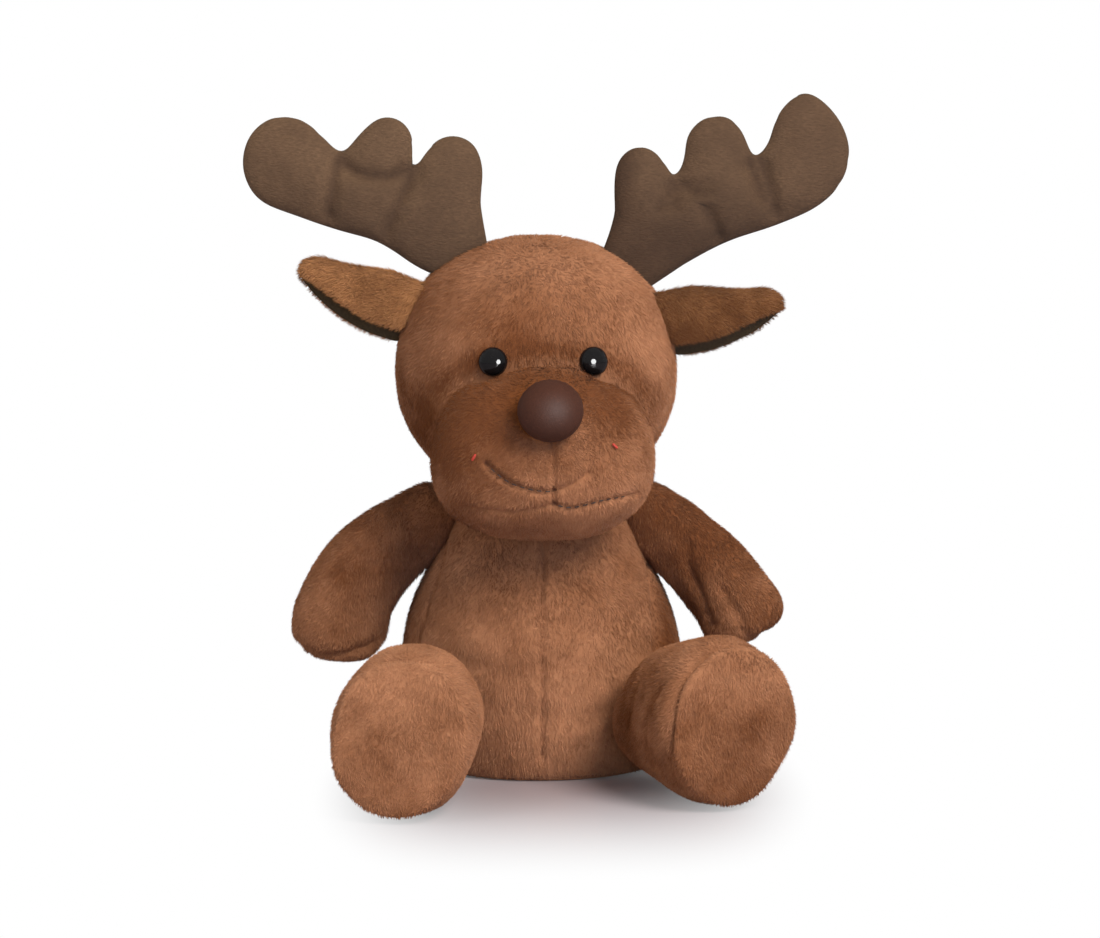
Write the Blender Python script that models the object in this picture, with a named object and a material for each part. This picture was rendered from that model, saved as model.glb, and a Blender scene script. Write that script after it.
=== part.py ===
"""A seated plush deer, about 28 cm tall with its antlers, as its sewn and stuffed pieces.

Metres, +Z up. The toy sits on the plane z = 0 with the middle of its seat at the origin and
faces -Y, so its right side is at -X. Each moving piece hangs under an empty on its joint.
"""

import math

import bmesh
import bpy
import numpy as np
from mathutils import Vector
from mathutils.geometry import delaunay_2d_cdt

# Clearances: what is left between two pieces that touch, and how far a cutter runs past a face.
seam_gap = 0.0004
joint_gap = 0.0008
hip_gap = 0.0005
socket_gap = 0.0005
cut_overrun = 0.004
floor_cut = 0.0005

# Torso: a pear that stands on its seat panel, with a pocket below for the bag of pellets.
torso_height = 0.118
torso_half_width = 0.0605
torso_half_depth = 0.0500
# Height, half width and half depth, as shares of the three sizes above.
torso_shares = (
    (0.000, 0.820, 0.880),
    (0.045, 0.900, 0.940),
    (0.140, 0.970, 0.985),
    (0.300, 1.000, 1.000),
    (0.450, 0.980, 0.985),
    (0.600, 0.900, 0.910),
    (0.740, 0.765, 0.780),
    (0.870, 0.650, 0.660),
    (0.950, 0.550, 0.570),
    (1.000, 0.420, 0.460),
)
seat_thickness = 0.0020
seat_rim = 0.0010
pellet_height = 0.0240
pellet_half_width = 0.0330
pellet_half_depth = 0.0270
pellet_round = 0.0060

# Neck: the firm stuffing of the neck, a dome that the head turns and nods on.
neck_inset = 0.0120
neck_pivot_height = torso_height - neck_inset
neck_radius = 0.0250
head_turn_limit = math.radians(22)
head_nod_down = math.radians(6)
head_nod_back = math.radians(10)

# Head: nearly a ball, a little left of the middle, with its face turned slightly to +X.
head_half_width = 0.0605
head_half_depth = 0.0550
head_half_height = 0.0570
head_above_neck = 0.0620
head_centre_height = neck_pivot_height + head_above_neck
head_lean = -0.0025
head_fullness = 2.15
face_turn = math.radians(3.5)

# Muzzle: a wide egg sewn to the front of the head, hanging below it as a chin.
muzzle_half_width = 0.0475
muzzle_rise = 0.0420
muzzle_drop = 0.0360
muzzle_depth = 0.0400
muzzle_back = 0.0110
muzzle_below_head = 0.0310
muzzle_height = head_centre_height - muzzle_below_head
muzzle_reach = 0.0460
muzzle_fullness = 2.2
muzzle_squareness = 2.5

nose_half_width = 0.0132
nose_half_height = 0.0125
nose_half_depth = 0.0110
nose_above_muzzle = 0.0222
nose_height = muzzle_height + nose_above_muzzle
nose_past_muzzle = 0.0018
nose_reach = muzzle_reach + muzzle_depth + nose_past_muzzle
nose_offset = 0.0008

# Eyes: a dome on a shank that runs into the head and is locked by a washer inside.
eye_radius = 0.0060
eye_dome = 0.0042
eye_edge = 0.0008
eye_spread = 0.0210
eye_above_head = 0.0075
eye_height = head_centre_height + eye_above_head
eye_sink = 0.0010
shank_radius = 0.0020
shank_length = 0.0130
washer_radius = 0.0052
washer_thickness = 0.0014
washer_depth = 0.0085

# Ears: an outer panel folded over along its top, with a lining inside the fold.
ear_length = 0.0475
ear_fold_height = 0.0120
ear_front_drop = 0.0100
ear_back_drop = 0.0165
ear_opening = 0.0045
ear_plush = 0.0030
ear_lining_thickness = 0.0013
ear_root_depth = 0.0080
ear_pivot_rise = 0.0030
ear_limit = math.radians(22)
# Length share, then shares of the fold height, the front and back drops and the opening.
ear_shares = (
    (-0.15, 0.92, 1.05, 1.03, 0.85),
    (0.00, 0.93, 1.05, 1.03, 1.00),
    (0.25, 0.84, 1.00, 0.97, 1.10),
    (0.50, 0.64, 0.72, 0.82, 1.00),
    (0.75, 0.55, 0.30, 0.53, 0.80),
    (0.92, 0.48, 0.08, 0.22, 0.55),
    (1.00, 0.18, -0.02, 0.02, 0.30),
)
ear_right_level_share = 0.465
ear_right_rise = math.radians(18)
ear_left_level_share = 0.377
ear_left_rise = math.radians(6)
ear_root_forward = 0.0080

# Antlers: two flat panels each, sewn round the edge and stuffed.
antler_half_thickness = 0.0072
antler_soft_edge = 0.0090
antler_base_half_width = 0.0100
antler_forward = 0.0040
antler_mesh_step = 0.0068
antler_limit = math.radians(20)
antler_right_reach = 0.0910
antler_right_rise = 0.0615
antler_right_base = 0.0340
antler_right_lift = 0.0445
antler_left_reach = 0.0915
antler_left_rise = 0.0765
antler_left_base = 0.0365
antler_left_lift = 0.0395
# Outline from the inner end of the base round to the outer one, as shares of reach and rise.
antler_right_shares = (
    (-0.093, 0.407),
    (-0.104, 0.675),
    (-0.066, 0.813),
    (0.055, 0.870),
    (0.143, 0.789),
    (0.214, 0.650),
    (0.209, 0.813),
    (0.253, 0.959),
    (0.352, 1.000),
    (0.451, 0.894),
    (0.549, 0.740),
    (0.626, 0.862),
    (0.714, 0.976),
    (0.835, 1.000),
    (0.956, 0.886),
    (1.000, 0.650),
    (0.945, 0.455),
    (0.747, 0.317),
    (0.560, 0.220),
    (0.374, 0.138),
    (0.231, 0.016),
)
antler_left_shares = (
    (-0.071, 0.281),
    (-0.071, 0.503),
    (-0.049, 0.641),
    (0.060, 0.712),
    (0.142, 0.660),
    (0.202, 0.529),
    (0.246, 0.601),
    (0.262, 0.765),
    (0.355, 0.869),
    (0.470, 0.863),
    (0.525, 0.758),
    (0.574, 0.634),
    (0.634, 0.712),
    (0.678, 0.895),
    (0.803, 1.000),
    (0.918, 0.908),
    (1.000, 0.732),
    (0.995, 0.549),
    (0.891, 0.399),
    (0.694, 0.281),
    (0.443, 0.176),
    (0.257, 0.059),
)

# Arms: from the shoulder out and down to a wide paw. Each reach is from shoulder to paw end.
shoulder_inset = 0.0110
shoulder_height = torso_height - shoulder_inset
shoulder_half_spread = 0.0400
arm_half_width = 0.0225
arm_half_depth = 0.0190
arm_forward_limit = math.radians(40)
arm_back_limit = math.radians(20)
arm_right_reach = 0.0480
arm_right_drop = 0.0630
arm_left_reach = 0.0500
arm_left_drop = 0.0535
arm_paw_forward = 0.0080
# Shares along the arm: outward, down and forward, then half width and half depth.
arm_right_shares = (
    (-0.42, -0.05, 0.00, 0.66, 0.74),
    (0.05, 0.00, 0.00, 0.70, 0.78),
    (0.61, 0.26, 0.60, 0.84, 0.90),
    (0.90, 0.62, 1.00, 0.97, 1.00),
    (1.00, 1.00, 1.00, 0.94, 0.96),
)
arm_left_shares = (
    (-0.42, -0.12, 0.00, 0.66, 0.74),
    (0.07, 0.00, 0.00, 0.70, 0.78),
    (0.53, 0.34, 0.60, 0.78, 0.88),
    (0.83, 0.71, 1.00, 0.88, 0.98),
    (1.00, 1.00, 1.00, 0.92, 0.96),
)

# Legs: from the hip forward to a round sole, resting on the floor.
hip_half_spread = 0.0455
hip_forward = 0.0350
hip_height = 0.0285
hip_pivot_inset = 0.0140
leg_half_width = 0.0305
leg_half_height = 0.0355
leg_lift_limit = math.radians(26)
leg_drop_limit = math.radians(8)
leg_right_length = 0.0810
leg_right_splay = math.radians(7)
leg_right_foot_height = 0.0335
leg_right_tip = math.radians(16)
leg_left_length = 0.0700
leg_left_splay = math.radians(26)
leg_left_foot_height = 0.0350
leg_left_tip = math.radians(2)
# Shares along the leg, then of its half width, half height, rise to the foot and tip.
leg_shares = (
    (-0.42, 0.66, 0.64, 0.00, 0.00),
    (0.00, 0.74, 0.70, 0.00, 0.00),
    (0.35, 0.86, 0.84, 0.45, 0.20),
    (0.70, 0.98, 0.98, 0.85, 0.65),
    (0.93, 1.00, 0.99, 1.00, 0.95),
    (1.00, 0.92, 0.92, 1.00, 1.00),
)
sole_share = 0.93
sole_rim = 0.0012
sole_dome = 0.0035

# Tail: a short stuffed tab at the back, clear of the floor.
tail_height = 0.0340
tail_length = 0.0290
tail_rise = math.radians(38)
tail_half_width = 0.0115
tail_half_thickness = 0.0072
tail_limit = math.radians(20)
tail_shares = ((-0.50, 0.60), (0.00, 0.80), (0.45, 1.00), (0.80, 0.92), (1.00, 0.80))

# Colours and finishes, as linear RGB.
plush_brown = (0.300, 0.130, 0.062)
ear_brown = (0.320, 0.150, 0.065)
antler_brown = (0.135, 0.082, 0.050)
lining_brown = (0.060, 0.042, 0.022)
nose_brown = (0.045, 0.022, 0.014)
eye_black = (0.006, 0.006, 0.007)
washer_white = (0.700, 0.700, 0.680)
stuffing_white = (0.800, 0.790, 0.760)
bag_cream = (0.620, 0.570, 0.470)

around = 28
limb_around = 20
sweep_steps = 9
ray_steps = 180


def material(name, colour, roughness):
    """A Principled material with the given linear colour and roughness."""
    made = bpy.data.materials.new(name)
    made.use_nodes = True
    shader = made.node_tree.nodes["Principled BSDF"]
    shader.inputs["Base Color"].default_value = (*colour, 1.0)
    shader.inputs["Roughness"].default_value = roughness
    shader.inputs["Metallic"].default_value = 0.0
    made.diffuse_color = (*colour, 1.0)
    return made


def pivot(name, place, parent=None):
    """An empty on a joint, at a place in world coordinates."""
    empty = bpy.data.objects.new(name, None)
    bpy.context.collection.objects.link(empty)
    place = Vector(place)
    empty["place"] = tuple(place)
    if parent:
        empty.parent = parent
        place = place - Vector(parent["place"])
    empty.location = place
    return empty


def piece(name, points, faces, finish, parent):
    """A closed mesh with outward faces, given in world coordinates, hung under its empty."""
    local = np.asarray(points, float) - np.array(parent["place"])
    mesh = bpy.data.meshes.new(name)
    mesh.from_pydata(local.tolist(), [], [list(face) for face in faces])
    bm = bmesh.new()
    bm.from_mesh(mesh)
    bmesh.ops.triangulate(bm, faces=bm.faces)
    if bm.calc_volume(signed=True) < 0:
        bmesh.ops.reverse_faces(bm, faces=bm.faces)
    bm.to_mesh(mesh)
    bm.free()
    mesh.shade_smooth()
    mesh.set_sharp_from_angle(angle=math.radians(40))
    mesh.materials.append(finish)
    made = bpy.data.objects.new(name, mesh)
    bpy.context.collection.objects.link(made)
    made.parent = parent
    return made


def subtract(target, cutter, operation="DIFFERENCE"):
    """Cuts one object with another, or joins them, and hides the second."""
    cutter.hide_render = True
    cutter.display_type = "WIRE"
    cut = target.modifiers.new(cutter.name, "BOOLEAN")
    cut.operation = operation
    cut.solver = "EXACT"
    cut.object = cutter


def smooth(table, at):
    """Columns 1 and up of a table, read at places in column 0 along a smooth curve."""
    table = np.array(table, float)
    place, values = table[:, 0], table[:, 1:]
    at = np.clip(at, place[0], place[-1])
    slope = np.gradient(values, place, axis=0)
    low = np.clip(np.searchsorted(place, at, side="right") - 1, 0, len(place) - 2)
    step = (place[low + 1] - place[low])[..., None]
    part = ((at - place[low]) / step[..., 0])[..., None]
    first = (1 + 2 * part) * (1 - part) ** 2 * values[low] + part**2 * (3 - 2 * part) * values[low + 1]
    bend = part * (1 - part) ** 2 * slope[low] - part**2 * (1 - part) * slope[low + 1]
    return first + bend * step


def circle(count):
    """Cosines and sines of the angles round a section."""
    angle = np.arange(count) * 2 * np.pi / count
    return np.cos(angle), np.sin(angle)


def closed_rings(rings, first, last):
    """Points and faces of rings of equal length, closed at both ends on a point."""
    rings = np.asarray(rings, float)
    count, size = rings.shape[:2]
    points = np.concatenate([rings.reshape(-1, 3), [first], [last]])
    here = np.arange(size)
    after = (here + 1) % size
    faces = [
        (row * size + a, row * size + b, (row + 1) * size + b, (row + 1) * size + a)
        for row in range(count - 1)
        for a, b in zip(here, after, strict=True)
    ]
    end = count * size
    faces += [(end, b, a) for a, b in zip(here, after, strict=True)]
    faces += [(end + 1, end - size + a, end - size + b) for a, b in zip(here, after, strict=True)]
    return points, faces


def oval_rings(profile, centre=(0.0, 0.0)):
    """Rings from (height, half width, half depth) rows, whose first and last are points."""
    profile = np.array(profile, float)
    cosine, sine = circle(around)
    x = centre[0] + profile[1:-1, 1:2] * cosine
    y = centre[1] + profile[1:-1, 2:3] * sine
    z = np.broadcast_to(profile[1:-1, 0:1], x.shape)
    ends = [(centre[0], centre[1], row[0]) for row in (profile[0], profile[-1])]
    return closed_rings(np.stack([x, y, z], -1), *ends)


def turned(points, place, axis, angle):
    """Points turned about an axis through a place, by the right-hand rule."""
    axis = np.asarray(axis, float) / np.linalg.norm(axis)
    arm = points - np.asarray(place, float)
    along = (arm @ axis)[..., None] * axis
    return (
        np.asarray(place, float)
        + along
        + (arm - along) * math.cos(angle)
        + np.cross(axis, arm) * math.sin(angle)
    )


def torso_distance(points):
    """About how far points lie outside the torso, negative inside it."""
    x, y, z = points[..., 0], points[..., 1], points[..., 2]
    share = np.clip(z / torso_height, 0, 1)
    size = smooth(torso_shares, share)
    wide, deep = size[..., 0] * torso_half_width, size[..., 1] * torso_half_depth
    beside = (np.hypot(x / wide, y / deep) - 1) * np.minimum(wide, deep)
    return np.maximum(np.maximum(beside, z - torso_height), -z)


def head_distance(points):
    """About how far points lie outside the head, negative inside it."""
    away = points - np.array((head_lean, 0.0, head_centre_height))
    flat = np.hypot(away[..., 0] / head_half_width, away[..., 1] / head_half_depth)
    tall = np.abs(away[..., 2]) / head_half_height
    size = (flat**head_fullness + tall**head_fullness) ** (1 / head_fullness)
    return (size - 1) * head_half_depth


def swept_distance(points, distance, place, axis, low, high):
    """The least distance that points keep from a solid as they turn through a joint's range."""
    least = np.full(points.shape[:-1], np.inf)
    for angle in np.linspace(low, high, sweep_steps):
        least = np.minimum(least, distance(turned(points, place, axis, angle)))
    return least


def moving_head_distance(points):
    """The least distance that points keep from the head as it turns and nods."""
    neck = (0, 0, neck_pivot_height)
    least = np.full(points.shape[:-1], np.inf)
    for turn in np.linspace(-head_turn_limit, head_turn_limit, 3):
        seen = turned(points, neck, (0, 0, 1), turn)
        for nod in (-head_nod_down, 0, head_nod_back):
            least = np.minimum(least, head_distance(turned(seen, neck, (1, 0, 0), nod)))
    return least


def last_exit(distance):
    """Where each ray, a row of distances along the last axis, leaves a solid for good."""
    inside = distance < 0
    last = distance.shape[-1] - 1 - np.argmax(inside[..., ::-1], axis=-1)
    last = np.clip(last, 0, distance.shape[-1] - 2)
    here = np.take_along_axis(distance, last[..., None], -1)[..., 0]
    there = np.take_along_axis(distance, last[..., None] + 1, -1)[..., 0]
    part = np.clip(here / np.where(here == there, 1.0, here - there), 0, 1)
    return np.where(inside.any(-1), (last + part) / (distance.shape[-1] - 1), 0.0)


def limb(section, distance, rings=12, inner=(0.35, 0.7), bunch=1.5, flat_end=False):
    """A stuffed limb whose root lies against a larger piece.

    section(t, angle, share) gives points at t from 0, inside the larger piece, to 1 at the end.
    Each line along the limb starts where distance() says that it is clear of that piece.
    """
    angle = np.arange(limb_around) * 2 * np.pi / limb_around
    rays = np.linspace(0, 1, ray_steps)

    def start(share):
        line = section(rays[None, :], angle[:, None], share)
        return last_exit(distance(line))

    tip = section(np.ones(1), np.zeros(1), 0.0)[0]
    root = section(start(0.0)[:1], np.zeros(1), 0.0)[0]
    rows = [section(start(share), angle, share) for share in inner]
    begin = start(1.0)
    steps = 1 - (1 - np.linspace(0, 1, rings)) ** bunch
    if not flat_end:
        steps = steps[:-1]
    rows += [section(begin + (1 - begin) * step, angle, 1.0) for step in steps]
    return closed_rings(rows, root, tip)


def round_ends(t, start_width, end_width, sharpness):
    """1 along a limb, falling to 0 at its start and its end like a quarter of an oval."""
    begin = 1 - np.clip(t / start_width, 0, 1)
    end = np.clip((t - 1) / end_width + 1, 0, 1)
    return np.sqrt(1 - begin**2) * (1 - end**sharpness) ** (1 / sharpness)


def build_torso(finish, parent):
    """The torso, with the pocket in its base for the bag of pellets."""
    base = seat_thickness + seam_gap
    heights = np.concatenate([[0.0, 0.02], np.linspace(0.07, 0.93, 12), [0.975, 1.0]])
    sizes = smooth(torso_shares, heights) * (torso_half_width, torso_half_depth)
    z = np.maximum(heights * torso_height, base)
    pocket = base + pellet_height + seam_gap
    wide = pellet_half_width + socket_gap
    deep = pellet_half_depth + socket_gap
    profile = [
        (pocket, 0, 0),
        (pocket, wide - pellet_round, deep - pellet_round),
        (pocket - pellet_round, wide, deep),
        (base, wide, deep),
    ]
    profile += [(z[0], *sizes[0])]
    profile += [(height, *size) for height, size in zip(z[1:], sizes[1:], strict=True)]
    profile += [(torso_height, 0, 0)]
    return piece("torso", *oval_rings(profile), finish, parent)


def build_seat(finish, bag_finish, parent):
    """The flat seat panel, and the bag of pellets that stands on it inside the torso."""
    wide, deep = (torso_shares[0][1] * torso_half_width, torso_shares[0][2] * torso_half_depth)
    panel = [
        (0, 0, 0),
        (0, wide - seat_rim, deep - seat_rim),
        (seat_rim, wide, deep),
        (seat_thickness, wide, deep),
        (seat_thickness, 0, 0),
    ]
    piece("seat_panel", *oval_rings(panel), finish, parent)
    low = seat_thickness + seam_gap
    high = low + pellet_height
    bag = [
        (low, 0, 0),
        (low, pellet_half_width - pellet_round, pellet_half_depth - pellet_round),
        (low + pellet_round, pellet_half_width, pellet_half_depth),
        (high - pellet_round, pellet_half_width, pellet_half_depth),
        (high, pellet_half_width - pellet_round, pellet_half_depth - pellet_round),
        (high, 0, 0),
    ]
    piece("pellet_bag", *oval_rings(bag), bag_finish, parent)


def build_neck(finish, parent):
    """The dome of firm stuffing between the torso's flat top and the head."""
    base = torso_height + seam_gap
    lowest = math.asin((base - neck_pivot_height) / neck_radius)
    angles = np.linspace(lowest, np.pi / 2, 7)
    profile = [(base, 0, 0)]
    profile += [
        (neck_pivot_height + neck_radius * math.sin(a), *[neck_radius * math.cos(a)] * 2)
        for a in angles[:-1]
    ]
    profile += [(neck_pivot_height + neck_radius, 0, 0)]
    return piece("neck_stuffing", *oval_rings(profile), finish, parent)


def head_sheet(shares, side):
    """Rings on the head's surface at shares of its half width, above or below its middle."""
    cosine, sine = circle(around)
    shares = np.array(shares)[:, None]
    x = head_lean + shares * head_half_width * cosine
    y = shares * head_half_depth * sine
    lift = (1 - shares**head_fullness) ** (1 / head_fullness)
    z = head_centre_height + side * lift * head_half_height + np.zeros_like(x)
    return np.stack([x, y, z], -1)


def clear_of_body(points, place):
    """How far points of the head stay from the torso and the neck over the turn and the nod."""
    clear = np.full(points.shape[:-1], np.inf)
    for nod in np.linspace(-head_nod_back, head_nod_down, 7):
        tipped = turned(points, place, (1, 0, 0), nod)
        torso = swept_distance(
            tipped, torso_distance, place, (0, 0, 1), -head_turn_limit, head_turn_limit
        )
        clear = np.minimum(clear, torso - joint_gap)
    neck = np.linalg.norm(points - place, axis=-1) - neck_radius - socket_gap
    return np.minimum(clear, neck)


def raised_sheet(sheet, place):
    """Rings under the head, lifted to where they clear the torso and the neck."""
    lift = np.linspace(0, head_half_height, ray_steps)
    rays = np.repeat(sheet[..., None, :], ray_steps, axis=-2)
    rays[..., 2] += lift
    sheet = sheet.copy()
    sheet[..., 2] += last_exit(clear_of_body(rays, place)) * head_half_height
    return sheet


def build_head(finish, parent):
    """The head, hollowed below where it sits on the neck."""
    place = np.array(parent["place"])
    upper = head_sheet(np.sin(np.radians([10, 22, 34, 46, 58, 70, 80])), 1)
    middle = head_sheet([1.0], 1)
    lower = head_sheet([0.98, 0.93, 0.85, 0.75, 0.65, 0.57, 0.51, 0.47, 0.435], -1)
    recess = head_sheet([0.40, 0.36, 0.30, 0.235, 0.165, 0.09], -1)
    rings = np.concatenate([upper, middle, raised_sheet(np.concatenate([lower, recess]), place)])
    crown = (head_lean, 0, head_centre_height + head_half_height)
    under = raised_sheet(
        np.array([[(head_lean, 0, head_centre_height - head_half_height)]]), place
    )[0, 0]
    return piece("head", *closed_rings(rings, crown, under), finish, parent)


def on_face(x, reach, z):
    """A point given from the face's own middle, in world coordinates."""
    x, reach, z = np.broadcast_arrays(x, reach, z)
    return np.stack(
        [
            head_lean + x * math.cos(face_turn) + reach * math.sin(face_turn),
            x * math.sin(face_turn) - reach * math.cos(face_turn),
            z,
        ],
        -1,
    )


def build_muzzle(finish, parent, grow, name):
    """The egg-shaped muzzle, or with grow a slightly larger copy to cut the nose with."""
    cosine, sine = circle(around)
    square = (abs(cosine) ** muzzle_squareness + abs(sine) ** muzzle_squareness) ** (
        -1 / muzzle_squareness
    )
    square = np.where(sine > 0, 1, square)
    cosine, sine = cosine * square, sine * square
    wide = muzzle_half_width + grow
    tall = np.where(sine > 0, muzzle_rise, muzzle_drop) + grow
    front = muzzle_depth + grow
    rows = []
    for step in np.radians([8, 20, 32, 44, 56, 68, 79, 90]):
        share = math.sin(step)
        bulge = (1 - share**muzzle_fullness) ** (1 / muzzle_fullness)
        at = muzzle_reach + front * bulge
        rows.append(on_face(wide * share * cosine, at, muzzle_height + tall * share * sine))
    for step in np.radians([64, 38, 14]):
        share = math.sin(step)
        at = muzzle_reach - (muzzle_back + grow) * math.cos(step)
        rows.append(on_face(wide * share * cosine, at, muzzle_height + tall * share * sine))
    tip = on_face(0, muzzle_reach + front, muzzle_height)
    back = on_face(0, muzzle_reach - muzzle_back - grow, muzzle_height)
    return piece(name, *closed_rings(rows, tip, back), finish, parent)


def grown_head(name, grow, finish, parent):
    """A slightly larger head, solid below, to cut what is sewn to it."""
    angles = np.radians([10, 20, 30, 40, 50, 60, 70, 80])
    rings = np.concatenate(
        [
            head_sheet(np.sin(angles), 1),
            head_sheet([1.0], 1),
            head_sheet(np.sin(angles[::-1]), -1),
        ]
    )
    centre = np.array((head_lean, 0, head_centre_height))
    size = np.array((head_half_width, head_half_depth, head_half_height))
    rings = centre + (rings - centre) * (1 + grow / size)
    ends = [centre + (0, 0, side * (head_half_height + grow)) for side in (1, -1)]
    return piece(name, *closed_rings(rings, *ends), finish, parent)


def build_nose(finish, parent):
    """The stuffed ball of the nose, cut flat to the muzzle behind."""
    cosine, sine = circle(16)
    rows = []
    for step in np.radians([20, 42, 65, 90, 115, 138, 160]):
        share = math.sin(step)
        rows.append(
            on_face(
                nose_offset + nose_half_width * share * cosine,
                nose_reach + nose_half_depth * math.cos(step),
                nose_height + nose_half_height * share * sine,
            )
        )
    tip = on_face(nose_offset, nose_reach + nose_half_depth, nose_height)
    back = on_face(nose_offset, nose_reach - nose_half_depth, nose_height)
    return piece("nose", *closed_rings(rows, tip, back), finish, parent)


def turned_solid(name, profile, place, axis, finish, parent, count=16):
    """A solid turned round an axis from (radius, height) rows that start and end on the axis."""
    axis = Vector(axis).normalized()
    side = axis.orthogonal().normalized()
    up = axis.cross(side)
    cosine, sine = circle(count)
    rows = [
        np.array(place)
        + np.outer(radius * cosine, side)
        + np.outer(radius * sine, up)
        + height * np.array(axis)
        for radius, height in profile[1:-1]
    ]
    ends = [np.array(place) + row[1] * np.array(axis) for row in (profile[0], profile[-1])]
    return piece(name, *closed_rings(rows, *ends), finish, parent)


def head_face_point(x, z):
    """The point and outward normal of the head's front at a place given by x and z."""
    flat = (1 - (abs(z - head_centre_height) / head_half_height) ** head_fullness) ** (
        1 / head_fullness
    )
    y = -head_half_depth * math.sqrt(flat**2 - ((x - head_lean) / head_half_width) ** 2)
    normal = Vector(
        (
            (x - head_lean) / head_half_width**2,
            y / head_half_depth**2,
            (z - head_centre_height) / head_half_height**2,
        )
    )
    return np.array((x, y, z)), normal.normalized()


def build_eye(side, word, head, muzzle, finishes, parent):
    """An eye's dome and shank, its washer, and the pocket that the head has for them."""
    eye_finish, washer_finish = finishes
    middle = on_face(side * eye_spread, head_half_depth, eye_height)[0]
    place, normal = head_face_point(middle, eye_height)
    place = place - np.array(normal) * eye_sink
    arc = np.radians([90, 70, 50, 30, 12])
    profile = [(0, eye_edge + eye_dome)]
    profile += [
        (eye_radius * math.cos(a), eye_edge + eye_dome * math.sin(a)) for a in arc[1:]
    ]
    profile += [(eye_radius, eye_edge), (eye_radius, 0)]
    profile += [(shank_radius, 0), (shank_radius, -shank_length), (0, -shank_length)]
    turned_solid(f"eye_{word}", profile, place, normal, eye_finish, parent)

    top = -washer_depth
    bore = shank_radius + seam_gap
    rows = [
        (bore, top),
        (washer_radius, top),
        (washer_radius, top - washer_thickness),
        (bore, top - washer_thickness),
    ]
    washer = ring_solid(f"eye_washer_{word}", rows, place, normal, washer_finish, parent)

    wide = eye_radius + seam_gap
    pocket = [
        (0, eye_edge + eye_dome + cut_overrun),
        (wide, eye_edge + eye_dome + cut_overrun),
        (wide, -seam_gap),
        (bore + seam_gap, -seam_gap),
        (bore + seam_gap, top + seam_gap),
        (washer_radius + seam_gap, top + seam_gap),
        (washer_radius + seam_gap, top - washer_thickness - seam_gap),
        (bore + seam_gap, top - washer_thickness - seam_gap),
        (bore + seam_gap, -shank_length - seam_gap),
        (0, -shank_length - seam_gap),
    ]
    cutter = turned_solid(f"eye_pocket_{word}", pocket, place, normal, eye_finish, parent)
    subtract(head, cutter)
    subtract(muzzle, cutter)
    return washer


def ring_solid(name, rows, place, axis, finish, parent, count=16):
    """A ring turned round an axis from the (radius, height) corners of its section."""
    axis = Vector(axis).normalized()
    side = axis.orthogonal().normalized()
    up = axis.cross(side)
    angle = np.arange(count) * 2 * np.pi / count
    points = [
        np.array(place)
        + radius * (math.cos(a) * np.array(side) + math.sin(a) * np.array(up))
        + height * np.array(axis)
        for a in angle
        for radius, height in rows
    ]
    size = len(rows)
    faces = [
        (
            i * size + j,
            i * size + (j + 1) % size,
            (i + 1) % count * size + (j + 1) % size,
            (i + 1) % count * size + j,
        )
        for i in range(count)
        for j in range(size)
    ]
    return piece(name, points, faces, finish, parent)


def thick_sheet(outer, inner):
    """Points and faces of a sheet given by the grids of its two sides."""
    rows, columns = outer.shape[:2]
    points = np.concatenate([outer.reshape(-1, 3), inner.reshape(-1, 3)])
    index = np.arange(rows * columns).reshape(rows, columns)
    other = index + rows * columns
    faces = []
    for i in range(rows - 1):
        for j in range(columns - 1):
            faces.append((index[i, j], index[i, j + 1], index[i + 1, j + 1], index[i + 1, j]))
            faces.append((other[i, j], other[i + 1, j], other[i + 1, j + 1], other[i, j + 1]))
    for i in range(rows - 1):
        faces.append((index[i, 0], index[i + 1, 0], other[i + 1, 0], other[i, 0]))
        faces.append((index[i + 1, -1], index[i, -1], other[i, -1], other[i + 1, -1]))
    for j in range(columns - 1):
        faces.append((index[0, j + 1], index[0, j], other[0, j], other[0, j + 1]))
        faces.append((index[-1, j], index[-1, j + 1], other[-1, j + 1], other[-1, j]))
    return points, faces


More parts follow.
